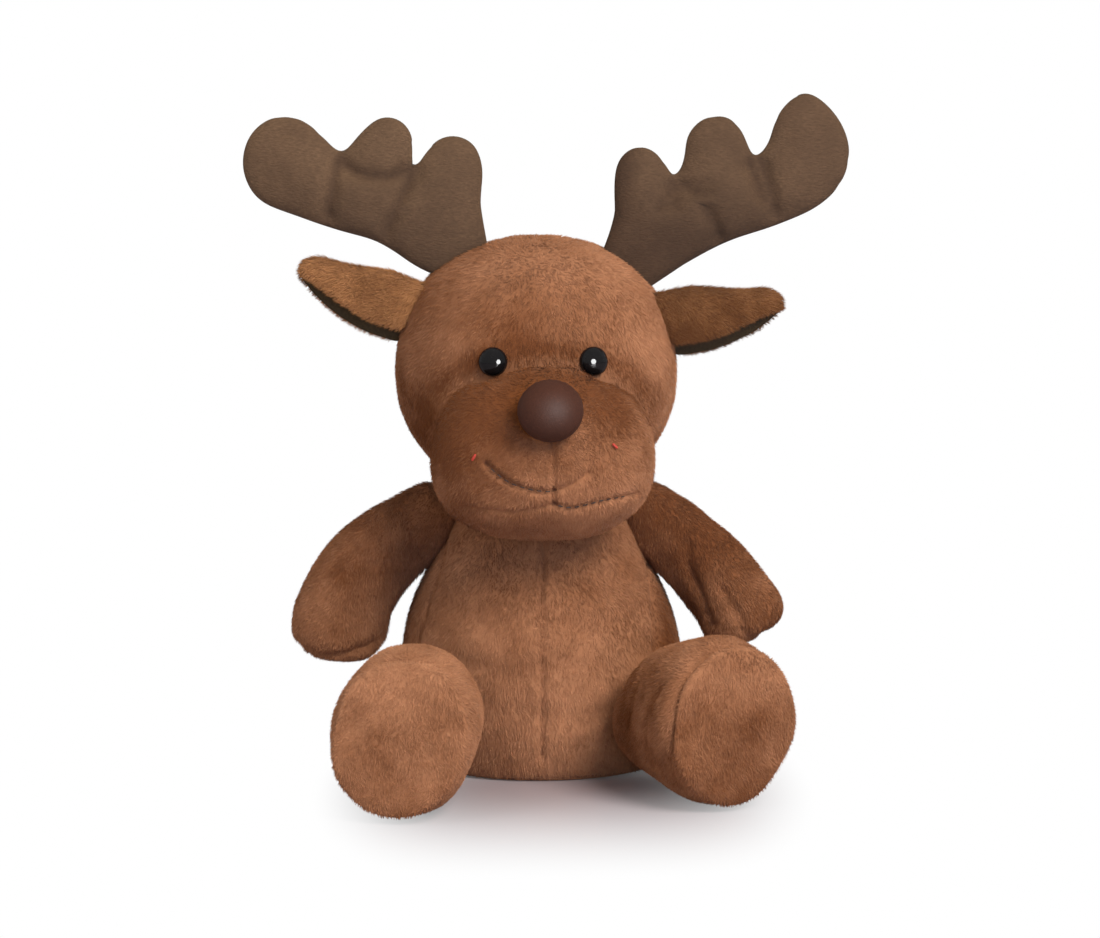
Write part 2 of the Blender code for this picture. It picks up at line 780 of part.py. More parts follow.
def build_ear(side, word, level, rise, finishes, head_pivot):
    """An ear's folded outer panel and its lining, cut to the head at the root."""
    height = head_centre_height + level * head_half_height
    flat = (1 - level**head_fullness) ** (2 / head_fullness)
    across = math.sqrt(flat - (ear_root_forward / head_half_depth) ** 2)
    root = np.array((head_lean + side * head_half_width * across, -ear_root_forward, height))
    length = np.array((side * math.cos(rise), 0, math.sin(rise)))
    upward = np.array((-side * math.sin(rise), 0, math.cos(rise)))
    forward = np.array((0, -1, 0))
    place = root + length * ear_pivot_rise
    joint = pivot(f"ear_{word}_joint", place, head_pivot)

    arc = np.linspace(0, np.pi, 11)

    def surface(t, opening, top):
        """The fold's surface: an arch over the ear's length, open below."""
        t = np.asarray(t)
        table = smooth(ear_shares, t)
        fold = table[..., 0] * ear_fold_height
        front = table[..., 1] * ear_front_drop
        back = table[..., 2] * ear_back_drop
        wide = table[..., 3] * ear_opening + opening
        lower = np.where(arc < np.pi / 2, -front, -back)
        high = lower + (fold + top - lower) * np.sin(arc) ** 0.8
        along = t * ear_length
        return (
            root
            + along[..., None] * length
            + high[..., None] * upward
            + (wide * np.cos(arc))[..., None] * forward
        )

    def clear(points):
        kept = swept_distance(points, head_distance, place, upward, -ear_limit, ear_limit)
        return kept - seam_gap

    def grid(opening, top):
        rays = np.linspace(-0.15, 1, ray_steps)
        lines = surface(np.repeat(rays[:, None], len(arc), 1), opening, top)
        start = -0.15 + 1.15 * last_exit(np.moveaxis(clear(lines), 0, -1))
        rows = [start + (1 - start) * k / 9 for k in range(10)]
        return np.stack([surface(row, opening, top) for row in rows])

    outer_finish, lining_finish = finishes
    points, faces = thick_sheet(grid(ear_plush, ear_plush), grid(0, 0))
    piece(f"ear_{word}_outer", points, faces, outer_finish, joint)
    lining_top = -seam_gap
    inside = -seam_gap - ear_lining_thickness
    points, faces = thick_sheet(grid(lining_top, lining_top), grid(inside, inside))
    piece(f"ear_{word}_lining", points, faces, lining_finish, joint)


def through(points, step):
    """A smooth curve through the points of an outline, at about equal steps."""
    points = np.array(points, float)
    run = np.concatenate([[0], np.cumsum(np.linalg.norm(np.diff(points, axis=0), axis=1))])
    count = max(int(round(run[-1] / step)), 2)
    table = np.column_stack([run, points])
    return smooth(table, np.linspace(0, run[-1], count + 1))


def edge_distance(points, outline):
    """How far each point of a plane is from the nearest side of a closed outline."""
    start, end = outline, np.roll(outline, -1, axis=0)
    side = end - start
    to = points[:, None, :] - start[None]
    part = np.clip((to * side).sum(-1) / (side**2).sum(-1), 0, 1)
    return np.linalg.norm(to - part[..., None] * side, axis=-1).min(1)


def inside_outline(points, outline):
    """Which points of a plane lie inside a closed outline, by counting crossings."""
    start, end = outline, np.roll(outline, -1, axis=0)
    x, y = points[:, None, 0], points[:, None, 1]
    spans = (start[:, 1] > y) != (end[:, 1] > y)
    rise = np.where(end[:, 1] == start[:, 1], 1.0, end[:, 1] - start[:, 1])
    crossing = start[:, 0] + (y - start[:, 1]) * (end[:, 0] - start[:, 0]) / rise
    return ((spans & (x < crossing)).sum(1) % 2).astype(bool)


def pillow(outline, step, half_thickness, soft_edge):
    """Points (x, thickness, z) and faces of two panels sewn along an outline and stuffed."""
    low, high = outline.min(0), outline.max(0)
    columns = np.arange(low[0], high[0], step)
    rows = np.arange(low[1], high[1], step * math.sqrt(3) / 2)
    grid = np.array([(x + (j % 2) * step / 2, y) for j, y in enumerate(rows) for x in columns])
    after, before = np.roll(outline, -1, axis=0), np.roll(outline, 1, axis=0)
    run = after - before
    inward = np.column_stack([-run[:, 1], run[:, 0]]) / np.linalg.norm(run, axis=1)[:, None]
    if not inside_outline(outline[:1] + inward[:1] * soft_edge / 9, outline)[0]:
        inward = -inward
    lap = soft_edge / 4
    rim = outline + inward * lap
    rim = rim[inside_outline(rim, outline)]
    rim = rim[edge_distance(rim, outline) > 0.8 * lap]
    kept = grid[inside_outline(grid, outline)]
    kept = kept[edge_distance(kept, outline) > lap + step / 2]
    extra = np.concatenate([rim, kept])
    count = len(outline)
    borders = [(i, (i + 1) % count) for i in range(count)]
    for _ in range(6):
        every = np.concatenate([outline, extra])
        spots = [Vector(p) for p in every]
        found = delaunay_2d_cdt(spots, borders, [list(range(count))], 1, step * 1e-3)
        flat = np.array([tuple(p) for p in found[0]])
        faces = found[2]
        depth = edge_distance(flat, outline)
        on_edge = depth < step * 1e-3
        chords = set()
        for face in faces:
            for a, b in zip(face, [*face[1:], face[0]], strict=True):
                if on_edge[a] and on_edge[b]:
                    chords.add((min(a, b), max(a, b)))
        middles = np.array([(flat[a] + flat[b]) / 2 for a, b in sorted(chords)])
        middles = middles[edge_distance(middles, outline) > step * 1e-3]
        if not len(middles):
            break
        extra = np.concatenate([extra, middles])
    swell = half_thickness * np.sqrt(1 - (1 - np.clip(depth / soft_edge, 0, 1)) ** 2)
    front = np.column_stack([flat[:, 0], -swell, flat[:, 1]])
    back = np.column_stack([flat[:, 0], swell, flat[:, 1]])
    other = np.arange(len(flat))
    other[~on_edge] = len(flat) + np.arange((~on_edge).sum())
    points = np.concatenate([front, back[~on_edge]])
    reverse = [tuple(other[i] for i in face[::-1]) for face in faces]
    return points, [tuple(face) for face in faces] + reverse


def build_antler(side, word, base, lift, reach, rise, shares, finish, head_pivot):
    """One antler: a stuffed outline that stands on the head's curve."""
    across = side * base
    height = head_centre_height + lift
    spots = across + side * np.linspace(-1, 1, 5) * antler_base_half_width
    flat = np.hypot((spots - head_lean) / head_half_width, antler_forward / head_half_depth)
    top = (1 - flat**head_fullness) ** (1 / head_fullness) * (head_half_height + 2 * seam_gap)
    foot = np.column_stack([spots, head_centre_height + top])
    shape = np.array([(across + side * x * reach, height + z * rise) for x, z in shares])
    curve = through(np.concatenate([foot[:1], shape, foot[-1:]]), antler_mesh_step)
    outline = np.concatenate([curve, foot[-2:0:-1]])
    points, faces = pillow(outline, antler_mesh_step, antler_half_thickness, antler_soft_edge)
    points = points - (0, antler_forward, 0)
    slope = foot[-1] - foot[0]
    outward = np.array((-slope[1], slope[0])) * side / np.linalg.norm(slope)
    middle = foot[2] + outward * antler_soft_edge
    joint = pivot(
        f"antler_{word}_joint", (middle[0], -antler_forward, middle[1]), head_pivot
    )
    return piece(f"antler_{word}", points, faces, finish, joint)


def shoulder_axis(side):
    """The way the torso's side faces at the shoulder."""
    share = shoulder_height / torso_height
    step = 0.05
    wide = smooth(torso_shares, np.array([share - step, share + step]))[:, 0]
    slope = (wide[0] - wide[1]) * torso_half_width / (2 * step * torso_height)
    return np.array((side, 0, slope)) / math.hypot(1, slope)


def build_arm(side, word, reach, drop, shares, finish, torso_pivot):
    """An arm that hangs from the shoulder out and down to its paw."""
    place = np.array((side * shoulder_half_spread, 0, shoulder_height))
    axis = shoulder_axis(side) * side
    joint = pivot(f"arm_{word}_joint", place, torso_pivot)
    table = np.column_stack([np.linspace(0, 1, len(shares)), np.array(shares)])

    def section(t, angle, share):
        t = np.asarray(t, float)
        ahead, behind = (smooth(table, np.clip(t + d, 0, 1)) for d in (0.04, -0.04))
        here = smooth(table, t)
        size = np.array((side * reach, -drop, -arm_paw_forward))
        middle = place + (here[..., :3] * size)[..., [0, 2, 1]]
        run = ((ahead - behind)[..., :3] * size)[..., [0, 2, 1]]
        run = run / np.linalg.norm(run, axis=-1, keepdims=True)
        deep = np.array((0.0, 1.0, 0.0)) - run[..., 1:2] * run
        deep = deep / np.linalg.norm(deep, axis=-1, keepdims=True)
        wide = np.cross(deep, run)
        round_off = round_ends(t, 0.14, 0.17, 2.6)
        across = share * here[..., 3] * arm_half_width * round_off * np.cos(angle)
        thick = share * here[..., 4] * arm_half_depth * round_off * np.sin(angle)
        return middle + across[..., None] * wide + thick[..., None] * deep

    def clear(points):
        swing = (place, axis, -arm_forward_limit, arm_back_limit)
        torso = swept_distance(points, torso_distance, *swing) - seam_gap
        head = swept_distance(points, moving_head_distance, *swing) - joint_gap
        return np.minimum(torso, head)

    return piece(f"arm_{word}", *limb(section, clear, rings=14), finish, joint)


def build_leg(side, word, length, splay, foot_height, tip, finish, torso_pivot):
    """A leg that reaches forward from the hip along the floor, and its round sole."""
    along = np.array((side * math.sin(splay), -math.cos(splay), 0))
    across = np.array((math.cos(splay), side * math.sin(splay), 0))
    hip = np.array((side * hip_half_spread, -hip_forward, hip_height))
    place = hip - along * hip_pivot_inset
    axis = np.cross(along, (0, 0, 1))
    joint = pivot(f"leg_{word}_joint", place, torso_pivot)
    stations = np.linspace(0, 1, len(leg_shares))
    table = np.column_stack([stations, np.array(leg_shares)])

    def frame(t):
        here = smooth(table, np.asarray(t, float))
        middle = hip + here[..., 0:1] * length * along
        middle = middle + (here[..., 3:4] * (foot_height - hip_height)) * np.array((0, 0, 1))
        lean = here[..., 4] * tip
        upward = np.sin(lean)[..., None] * -along + np.cos(lean)[..., None] * np.array((0, 0, 1))
        return here, middle, upward

    def section(t, angle, share):
        here, middle, upward = frame(t)
        begin = np.sqrt(1 - (1 - np.clip(np.asarray(t) / 0.12, 0, 1)) ** 2)
        wide = share * here[..., 1] * leg_half_width * begin * np.cos(angle)
        tall = share * here[..., 2] * leg_half_height * begin * np.sin(angle)
        points = middle + wide[..., None] * across + tall[..., None] * upward
        points[..., 2] = np.maximum(points[..., 2], 0)
        return points

    def clear(points):
        swing = (place, axis, -leg_drop_limit, leg_lift_limit)
        return swept_distance(points, torso_distance, *swing) - hip_gap

    points, faces = limb(section, clear, rings=12, bunch=1.35, flat_end=True)
    piece(f"leg_{word}", points, faces, finish, joint)

    here, middle, upward = frame(1.0)
    facing = np.cross(upward, across) * 1.0
    facing = facing if facing @ along > 0 else -facing
    wide, tall = leg_half_width * sole_share, leg_half_height * sole_share
    cosine, sine = circle(limb_around + 4)
    rows = []
    arc = np.radians([90, 66, 42, 18])
    profile = [(1.0, 0.0)] + [(math.sin(a), math.cos(a)) for a in arc]
    for share, bulge in profile:
        lift = seam_gap + (sole_rim + sole_dome * bulge if len(rows) else 0)
        ring = (
            middle
            + lift * facing
            + np.outer(wide * share * cosine, across)
            + np.outer(tall * share * sine, upward)
        )
        ring[:, 2] = np.maximum(ring[:, 2], floor_cut)
        rows.append(ring)
    back = middle + seam_gap * facing
    front = middle + (seam_gap + sole_rim + sole_dome) * facing
    piece(f"sole_{word}", *closed_rings(rows, back, front), finish, joint)


def build_tail(finish, torso_pivot):
    """The short tail at the back of the torso."""
    share = tail_height / torso_height
    deep = smooth(torso_shares, np.array(share))[1] * torso_half_depth
    along = np.array((0, math.cos(tail_rise), math.sin(tail_rise)))
    upward = np.array((0, -math.sin(tail_rise), math.cos(tail_rise)))
    root = np.array((0, deep, tail_height))
    joint = pivot("tail_joint", root, torso_pivot)
    table = np.column_stack([np.linspace(0, 1, len(tail_shares)), np.array(tail_shares)])

    def section(t, angle, share):
        here = smooth(table, np.asarray(t, float))
        round_off = round_ends(t, 0.16, 0.30, 2.2)
        middle = root + here[..., 0:1] * tail_length * along
        wide = share * here[..., 1] * tail_half_width * round_off * np.cos(angle)
        tall = share * here[..., 1] * tail_half_thickness * round_off * np.sin(angle)
        return middle + wide[..., None] * np.array((1, 0, 0)) + tall[..., None] * upward

    def clear(points):
        kept = swept_distance(
            points, torso_distance, root, (1, 0, 0), -tail_limit, tail_limit
        )
        return kept - seam_gap

    return piece("tail", *limb(section, clear, rings=9, inner=(0.5,)), finish, joint)


def build():
    """Puts the whole toy together."""
    for old in list(bpy.data.objects):
        bpy.data.objects.remove(old, do_unlink=True)

    plush = material("plush", plush_brown, 0.95)
    ear_plush_finish = material("ear_plush", ear_brown, 0.95)
    velvet = material("antler_velour", antler_brown, 0.9)
    lining = material("ear_lining", lining_brown, 0.9)
    nose_finish = material("nose_velvet", nose_brown, 0.8)
    eye_finish = material("eye_plastic", eye_black, 0.08)
    washer_finish = material("washer_plastic", washer_white, 0.5)
    fibre = material("fibre_stuffing", stuffing_white, 1.0)
    bag = material("pellet_bag", bag_cream, 0.9)

    torso_pivot = pivot("torso_frame", (0, 0, 0))
    neck_place = (0, 0, neck_pivot_height)
    neck_pivot = pivot("neck_joint", neck_place, torso_pivot)
    head_pivot = pivot("head_joint", neck_place, neck_pivot)

    build_torso(plush, torso_pivot)
    build_seat(plush, bag, torso_pivot)
    build_neck(fibre, neck_pivot)
    head = build_head(plush, head_pivot)
    muzzle = build_muzzle(plush, head_pivot, 0, "muzzle")
    subtract(muzzle, grown_head("head_seat", seam_gap, plush, head_pivot))
    nose = build_nose(nose_finish, head_pivot)
    subtract(nose, build_muzzle(plush, head_pivot, seam_gap, "nose_seat"))
    for side, word in ((-1, "right"), (1, "left")):
        build_eye(side, word, head, muzzle, (eye_finish, washer_finish), head_pivot)

    ear_finishes = (ear_plush_finish, lining)
    build_ear(-1, "right", ear_right_level_share, ear_right_rise, ear_finishes, head_pivot)
    build_ear(1, "left", ear_left_level_share, ear_left_rise, ear_finishes, head_pivot)
    build_antler(
        -1,
        "right",
        antler_right_base,
        antler_right_lift,
        antler_right_reach,
        antler_right_rise,
        antler_right_shares,
        velvet,
        head_pivot,
    )
    build_antler(
        1,
        "left",
        antler_left_base,
        antler_left_lift,
        antler_left_reach,
        antler_left_rise,
        antler_left_shares,
        velvet,
        head_pivot,
    )
    build_arm(
        -1, "right", arm_right_reach, arm_right_drop, arm_right_shares, plush, torso_pivot
    )
    build_arm(1, "left", arm_left_reach, arm_left_drop, arm_left_shares, plush, torso_pivot)
    build_leg(
        -1,
        "right",
        leg_right_length,
        leg_right_splay,
        leg_right_foot_height,
        leg_right_tip,
        plush,
        torso_pivot,
    )
    build_leg(
        1,
        "left",
        leg_left_length,
        leg_left_splay,
        leg_left_foot_height,
        leg_left_tip,
        plush,
        torso_pivot,
    )
    build_tail(plush, torso_pivot)


build()
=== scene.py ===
"""A seated plush deer: sewn skins with their pile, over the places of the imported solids.

Metres, +Z up. The toy sits on z = 0 and faces -Y, so its right side is at -X. The file follows
the toy as it is sewn together, and each section keeps its own sizes, colours, mesh and finish.
"""

import math

import bmesh
import bpy
import numpy as np
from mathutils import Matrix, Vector


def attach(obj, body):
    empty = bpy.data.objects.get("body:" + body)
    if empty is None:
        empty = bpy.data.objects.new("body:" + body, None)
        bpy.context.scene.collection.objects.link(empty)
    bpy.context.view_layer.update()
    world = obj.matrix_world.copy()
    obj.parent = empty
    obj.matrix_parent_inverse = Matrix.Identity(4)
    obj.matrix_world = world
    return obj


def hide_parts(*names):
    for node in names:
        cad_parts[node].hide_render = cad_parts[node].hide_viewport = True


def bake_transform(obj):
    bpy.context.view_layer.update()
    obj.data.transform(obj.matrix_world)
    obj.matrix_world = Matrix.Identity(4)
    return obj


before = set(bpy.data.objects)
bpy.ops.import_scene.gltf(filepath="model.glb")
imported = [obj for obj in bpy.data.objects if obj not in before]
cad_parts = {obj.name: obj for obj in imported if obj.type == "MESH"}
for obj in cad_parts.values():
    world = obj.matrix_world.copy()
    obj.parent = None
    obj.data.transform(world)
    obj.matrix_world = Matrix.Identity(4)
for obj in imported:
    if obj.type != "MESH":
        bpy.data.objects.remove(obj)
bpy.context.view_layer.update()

# Torso: four brown plush panels sewn into a pear round loose fibre, with a seam down the front,
# one down the back and one on each side. The skin is drawn on the solid's own profile, blown out
# as cloth, and its pile is sewn over it as fine leaning tufts.
torso_height = 0.118
torso_half_width = 0.0605
torso_half_depth = 0.0500
# Height, half width and half depth, as shares of the three sizes above.
torso_shares = (
    (0.000, 0.820, 0.880),
    (0.045, 0.900, 0.940),
    (0.140, 0.970, 0.985),
    (0.300, 1.000, 1.000),
    (0.450, 0.980, 0.985),
    (0.600, 0.900, 0.910),
    (0.740, 0.765, 0.780),
    (0.870, 0.650, 0.660),
    (0.950, 0.550, 0.570),
    (1.000, 0.420, 0.460),
)
fabric_depth = 0.0010
cloth_reach = 0.0012
drawn_in = fabric_depth + cloth_reach
air_frames = 20
millimetre = 0.001
# The seams, each with its depth: front, back, right and left. All lines are in millimetres.
torso_seam_lines = (
    (((1, -34, 100), (0.6, -40, 85), (0, -48, 60), (-0.2, -50, 36), (0, -47, 10)), 0.0018),
    (((0, 36, 100), (0, 41, 85), (0, 49, 60), (0, 50, 36), (0, 47, 10)), 0.0018),
    (
        ((-40, -8, 98), (-42, -16.8, 86.7), (-46, -19.7, 76.6), (-49, -21, 66), (-53, -21, 50))
        + ((-54, -20, 30), (-48, -18, 6)),
        0.0022,
    ),
    (
        ((42, 4, 98), (44, -2, 92), (46.4, -12.6, 81.8), (47.8, -22, 68), (48, -29, 53))
        + ((46, -34, 34), (40, -33, 6)),
        0.0022,
    ),
)
# Soft folds across the belly, where the stuffing gives.
belly_folds = (
    ((-40, -28, 72), (-22, -46, 68), (0, -50, 70), (24, -46, 66), (42, -28, 70)),
    ((-34, -38, 50), (-12, -50, 46), (10, -50, 49)),
    ((-6, -50, 30), (16, -48, 27), (38, -36, 32)),
)


def read_shares(table, at):
    """A table's other columns at places in its first: a cubic between rows, with even slopes."""
    table = np.array(table, float)
    place, values = table[:, 0], table[:, 1:]
    at = np.clip(at, place[0], place[-1])
    slope = np.gradient(values, place, axis=0)
    low = np.clip(np.searchsorted(place, at, side="right") - 1, 0, len(place) - 2)
    step = (place[low + 1] - place[low])[..., None]
    part = ((at - place[low]) / step[..., 0])[..., None]
    rest = (1 - part) ** 2
    held = (1 + 2 * part) * rest * values[low] + part**2 * (3 - 2 * part) * values[low + 1]
    bend = part * rest * slope[low] - part**2 * (1 - part) * slope[low + 1]
    return held + bend * step


def smooth_line(points, step):
    """A smooth line through points, cut into equal steps of its length."""
    points = np.array(points, float)
    run = np.concatenate([[0], np.cumsum(np.linalg.norm(np.diff(points, axis=0), axis=1))])
    count = max(int(round(run[-1] / step)), 2)
    return read_shares(np.column_stack([run, points]), np.linspace(0, run[-1], count + 1))


def soft_noise(points, size, seed):
    """Three channels of smooth noise in -1..1: random values on a lattice, blended in between."""
    lattice = np.random.default_rng(seed).uniform(-1, 1, (32, 32, 32, 3))
    place = np.asarray(points, float) / size + 500
    low = np.floor(place).astype(int)
    part = place - low
    part = part * part * (3 - 2 * part)
    total = np.zeros(place.shape[:-1] + (3,))
    for corner in np.ndindex(2, 2, 2):
        at = (low + corner) % 32
        weight = np.prod(np.where(corner, part, 1 - part), axis=-1)
        total += weight[..., None] * lattice[at[..., 0], at[..., 1], at[..., 2]]
    return total


def mesh_arrays(mesh):
    """A mesh's points, triangles and point normals as arrays."""
    points = np.empty(len(mesh.vertices) * 3, np.float32)
    mesh.vertices.foreach_get("co", points)
    mesh.calc_loop_triangles()
    triangles = np.empty(len(mesh.loop_triangles) * 3, np.int32)
    mesh.loop_triangles.foreach_get("vertices", triangles)
    normals = np.empty(len(mesh.vertices) * 3, np.float32)
    mesh.vertex_normals.foreach_get("vector", normals)
    return (
        points.reshape(-1, 3).astype(float),
        triangles.reshape(-1, 3),
        normals.reshape(-1, 3).astype(float),
    )


def set_in_scene(name, data):
    """An object of this mesh, lamp or camera, linked to the scene."""
    made = bpy.data.objects.new(name, data)
    bpy.context.scene.collection.objects.link(made)
    return made


def new_piece(name, points, faces):
    """An object of these points and faces, with the faces turned outwards."""
    mesh = bpy.data.meshes.new(name)
    mesh.from_pydata(np.asarray(points).tolist(), [], faces)
    mesh.update()
    points, triangles, _ = mesh_arrays(mesh)
    if np.linalg.det(points[triangles]).sum() < 0:
        mesh.flip_normals()
    mesh.shade_smooth()
    return set_in_scene(name, mesh)


def closed_skin(name, rows, first, last):
    """Rows of points that run round a piece, joined in quads and shut on a point at each end.

    Rows with one more axis in front make as many separate forms, all in one piece.
    """
    rows = rows.reshape(-1, *rows.shape[-3:])
    several, count, around = rows.shape[:3]
    ends = np.stack([np.reshape(first, (-1, 3)), np.reshape(last, (-1, 3))], 1)
    points = np.concatenate([rows.reshape(several, -1, 3), ends], 1)
    index = np.arange(count * around).reshape(count, around)
    after = np.roll(index, -1, axis=1)
    quads = np.stack([index[:-1], after[:-1], after[1:], index[1:]], -1).reshape(-1, 4)
    start = np.stack([np.full(around, count * around), after[0], index[0]], -1)
    end = np.stack([np.full(around, count * around + 1), index[-1], after[-1]], -1)
    base = np.arange(several)[:, None, None] * (count * around + 2)
    faces = [(base + part).reshape(-1, part.shape[1]).tolist() for part in (quads, start, end)]
    return new_piece(name, points.reshape(-1, 3), sum(faces, []))


def worked_in(made):
    """Works an object's modifiers into its mesh."""
    bpy.context.view_layer.update()
    graph = bpy.context.evaluated_depsgraph_get()
    mesh = bpy.data.meshes.new_from_object(made.evaluated_get(graph))
    made.modifiers.clear()
    made.data = mesh
    mesh.shade_smooth()
    return made


def subdivided(made, levels):
    """Rounds a mesh by subdivision."""
    if levels:
        finer = made.modifiers.new("finer", "SUBSURF")
        finer.levels = levels
        finer.render_levels = levels
        worked_in(made)
    return made


def moved_to(made, points):
    """Puts a mesh's points at new places."""
    made.data.vertices.foreach_set("co", np.asarray(points, np.float32).ravel())
    made.data.update()
    return made


def stuffed(made, levels, reach=cloth_reach, pressure=8.0, ease=0.045, held=(1, 1, 1)):
    """Blows a skin out as cloth, no point by more than reach, then rounds it.

    The cloth is cut larger than its form by the share ease, and held scales each way it may move.
    """
    points, _, normals = mesh_arrays(made.data)
    cloth = made.modifiers.new("air", "CLOTH")
    cloth.settings.use_pressure = True
    cloth.settings.uniform_pressure_force = pressure
    cloth.settings.shrink_min = -ease
    cloth.settings.effector_weights.gravity = 0
    cloth.point_cache.frame_start = 1
    cloth.point_cache.frame_end = air_frames
    for step in range(1, air_frames + 1):
        bpy.context.scene.frame_set(step)
    graph = bpy.context.evaluated_depsgraph_get()
    swollen = mesh_arrays(made.evaluated_get(graph).data)[0]
    made.modifiers.clear()
    bpy.context.scene.frame_set(1)
    away = (swollen - points) * held
    far = np.linalg.norm(away, axis=1, keepdims=True)
    moved = points + away * np.minimum(1, reach / np.maximum(far, 1e-9))
    return subdivided(moved_to(made, moved), levels)


def bell(value, middle, width):
    """1 at the middle, falling off on both sides: e to the minus square of the way over width."""
    return np.exp(-(((value - middle) / width) ** 2))


def nearest_on_line(points, line):
    """How far points are from a line of straight parts."""
    best = np.full(len(points), np.inf)
    for start, end in zip(line[:-1], line[1:], strict=True):
        run = end - start
        part = np.clip(((points - start) @ run) / (run @ run), 0, 1)
        best = np.minimum(best, np.linalg.norm(points - start - part[:, None] * run, axis=1))
    return best


def laid_on(made, line, step=0.0015):
    """A smooth line in millimetres, brought onto the nearest points of a skin."""
    line = smooth_line(np.array(line, float) * millimetre, step)
    points = mesh_arrays(made.data)[0]
    nearest = points[[np.argmin(((points - place) ** 2).sum(1)) for place in line]]
    nearest[1:-1] = (nearest[:-2] + 2 * nearest[1:-1] + nearest[2:]) / 4
    return nearest


def pressed(made, creases, lump=0.0, lump_size=0.022, seed=1, middle=None):
    """Sinks a skin along lines, each with its depth and width, and leaves its fibre uneven.

    With the middle of a flat piece, no point sinks further than half of the way to it.
    """
    points, _, normals = mesh_arrays(made.data)
    lift = lump * soft_noise(points, lump_size, seed)[:, 0]
    for line, depth, width in creases:
        lift -= depth * bell(nearest_on_line(points, line), 0, width)
    if middle is not None:
        lift = np.maximum(lift * normals[:, 1] ** 2, -0.5 * np.abs(points[:, 1] - middle))
    return moved_to(made, points + lift[:, None] * normals)


def sewn_on(made, past, reach, depth):
    """Draws a piece's root into what it is sewn to.

    Each point moves down the slope of past(), the distance from that surface, by depth on the
    surface and by less and less out to reach.
    """
    points, _, _ = mesh_arrays(made.data)
    ways = np.eye(3) * 1e-5
    slope = np.stack([past(points + way) - past(points - way) for way in ways], -1)
    slope = slope / np.linalg.norm(slope, axis=1, keepdims=True)
    share = np.clip(1 - past(points) / reach, 0, 1)[:, None]
    return moved_to(made, points - depth * share * (2 - share) * slope)


def math_node(operation, turned=False):
    """An operator that adds a Math node, with its two values the other way round if turned."""

    def apply(self, other):
        first, second = (other, self) if turned else (self, other)
        return self.nodes.node("ShaderNodeMath", {"operation": operation}, {0: first, 1: second})

    return apply


class Socket:
    """One output of a node. Sums, products and powers on it add their Math nodes."""

    def __init__(self, nodes, socket):
        self.nodes = nodes
        self.socket = socket

    __add__, __radd__ = math_node("ADD"), math_node("ADD", True)
    __sub__, __rsub__ = math_node("SUBTRACT"), math_node("SUBTRACT", True)
    __mul__, __rmul__ = math_node("MULTIPLY"), math_node("MULTIPLY", True)
    __truediv__, __rtruediv__ = math_node("DIVIDE"), math_node("DIVIDE", True)
    __pow__, __rpow__ = math_node("POWER"), math_node("POWER", True)


class Nodes:
    """A node tree that ends in one of its nodes. A colour is given as three numbers."""

    def __init__(self, tree, end):
        self.tree = tree
        self.end = tree.nodes[end]

    def feed(self, socket, value):
        """Links or sets one socket."""
        if isinstance(value, Socket):
            self.tree.links.new(value.socket, socket)
        else:
            socket.default_value = (*value, 1) if socket.type == "RGBA" else value

    def node(self, kind, settings, sockets, output=0):
        """A node of any type, with its settings first and then its sockets' values or links."""
        made = self.tree.nodes.new(kind)
        for name, value in settings.items():
            setattr(made, name, value)
        for key, value in sockets.items():
            self.feed(made.inputs[key], value)
        return Socket(self, made.outputs[output])

    def shown(self, seen, plain, bright):
        """Ends the tree in one shader, and in a bright one where rays that are seen meet it."""
        sockets = {0: seen, 1: plain, 2: bright}
        self.feed(self.end.inputs["Surface"], self.node("ShaderNodeMixShader", {}, sockets))


class Finish(Nodes):
    """A material, the nodes that make it, and its shader's constants."""

    def __init__(self, name, **constants):
        self.material = bpy.data.materials.new(name)
        self.material.use_nodes = True
        super().__init__(self.material.node_tree, "Material Output")
        self.shader = self.tree.nodes["Principled BSDF"]
        for socket, value in constants.items():
            self.set(socket.replace("_", " "), value)

    def set(self, socket, value):
        """Sets or links one socket of the shader."""
        self.feed(self.shader.inputs[socket], value)

    def mix(self, factor, low, high, blend="MIX"):
        """A colour between two others."""
        settings = {"data_type": "RGBA", "blend_type": blend}
        return self.node("ShaderNodeMix", settings, {0: factor, 6: low, 7: high}, 2)

    def place(self):
        """The place on the piece, in metres."""
        return self.node("ShaderNodeTexCoord", {}, {}, 3)

    def speckle(self, size, detail=2.0, place=None):
        """Cloudy noise from 0 to 1 with blots of about this size."""
        place = self.place() if place is None else place
        return self.node(
            "ShaderNodeTexNoise", {}, {"Vector": place, "Scale": 1 / size, "Detail": detail}
        )

    def mark(self, name):
        """A number kept on the mesh's points."""
        return self.node("ShaderNodeAttribute", {"attribute_name": name}, {}, 2)

    def raised(self, height, distance, strength=1.0):
        """A bump from a height of 0 to 1 over this distance."""
        sockets = {"Strength": strength, "Distance": distance, "Height": height}
        self.set("Normal", self.node("ShaderNodeBump", {}, sockets))


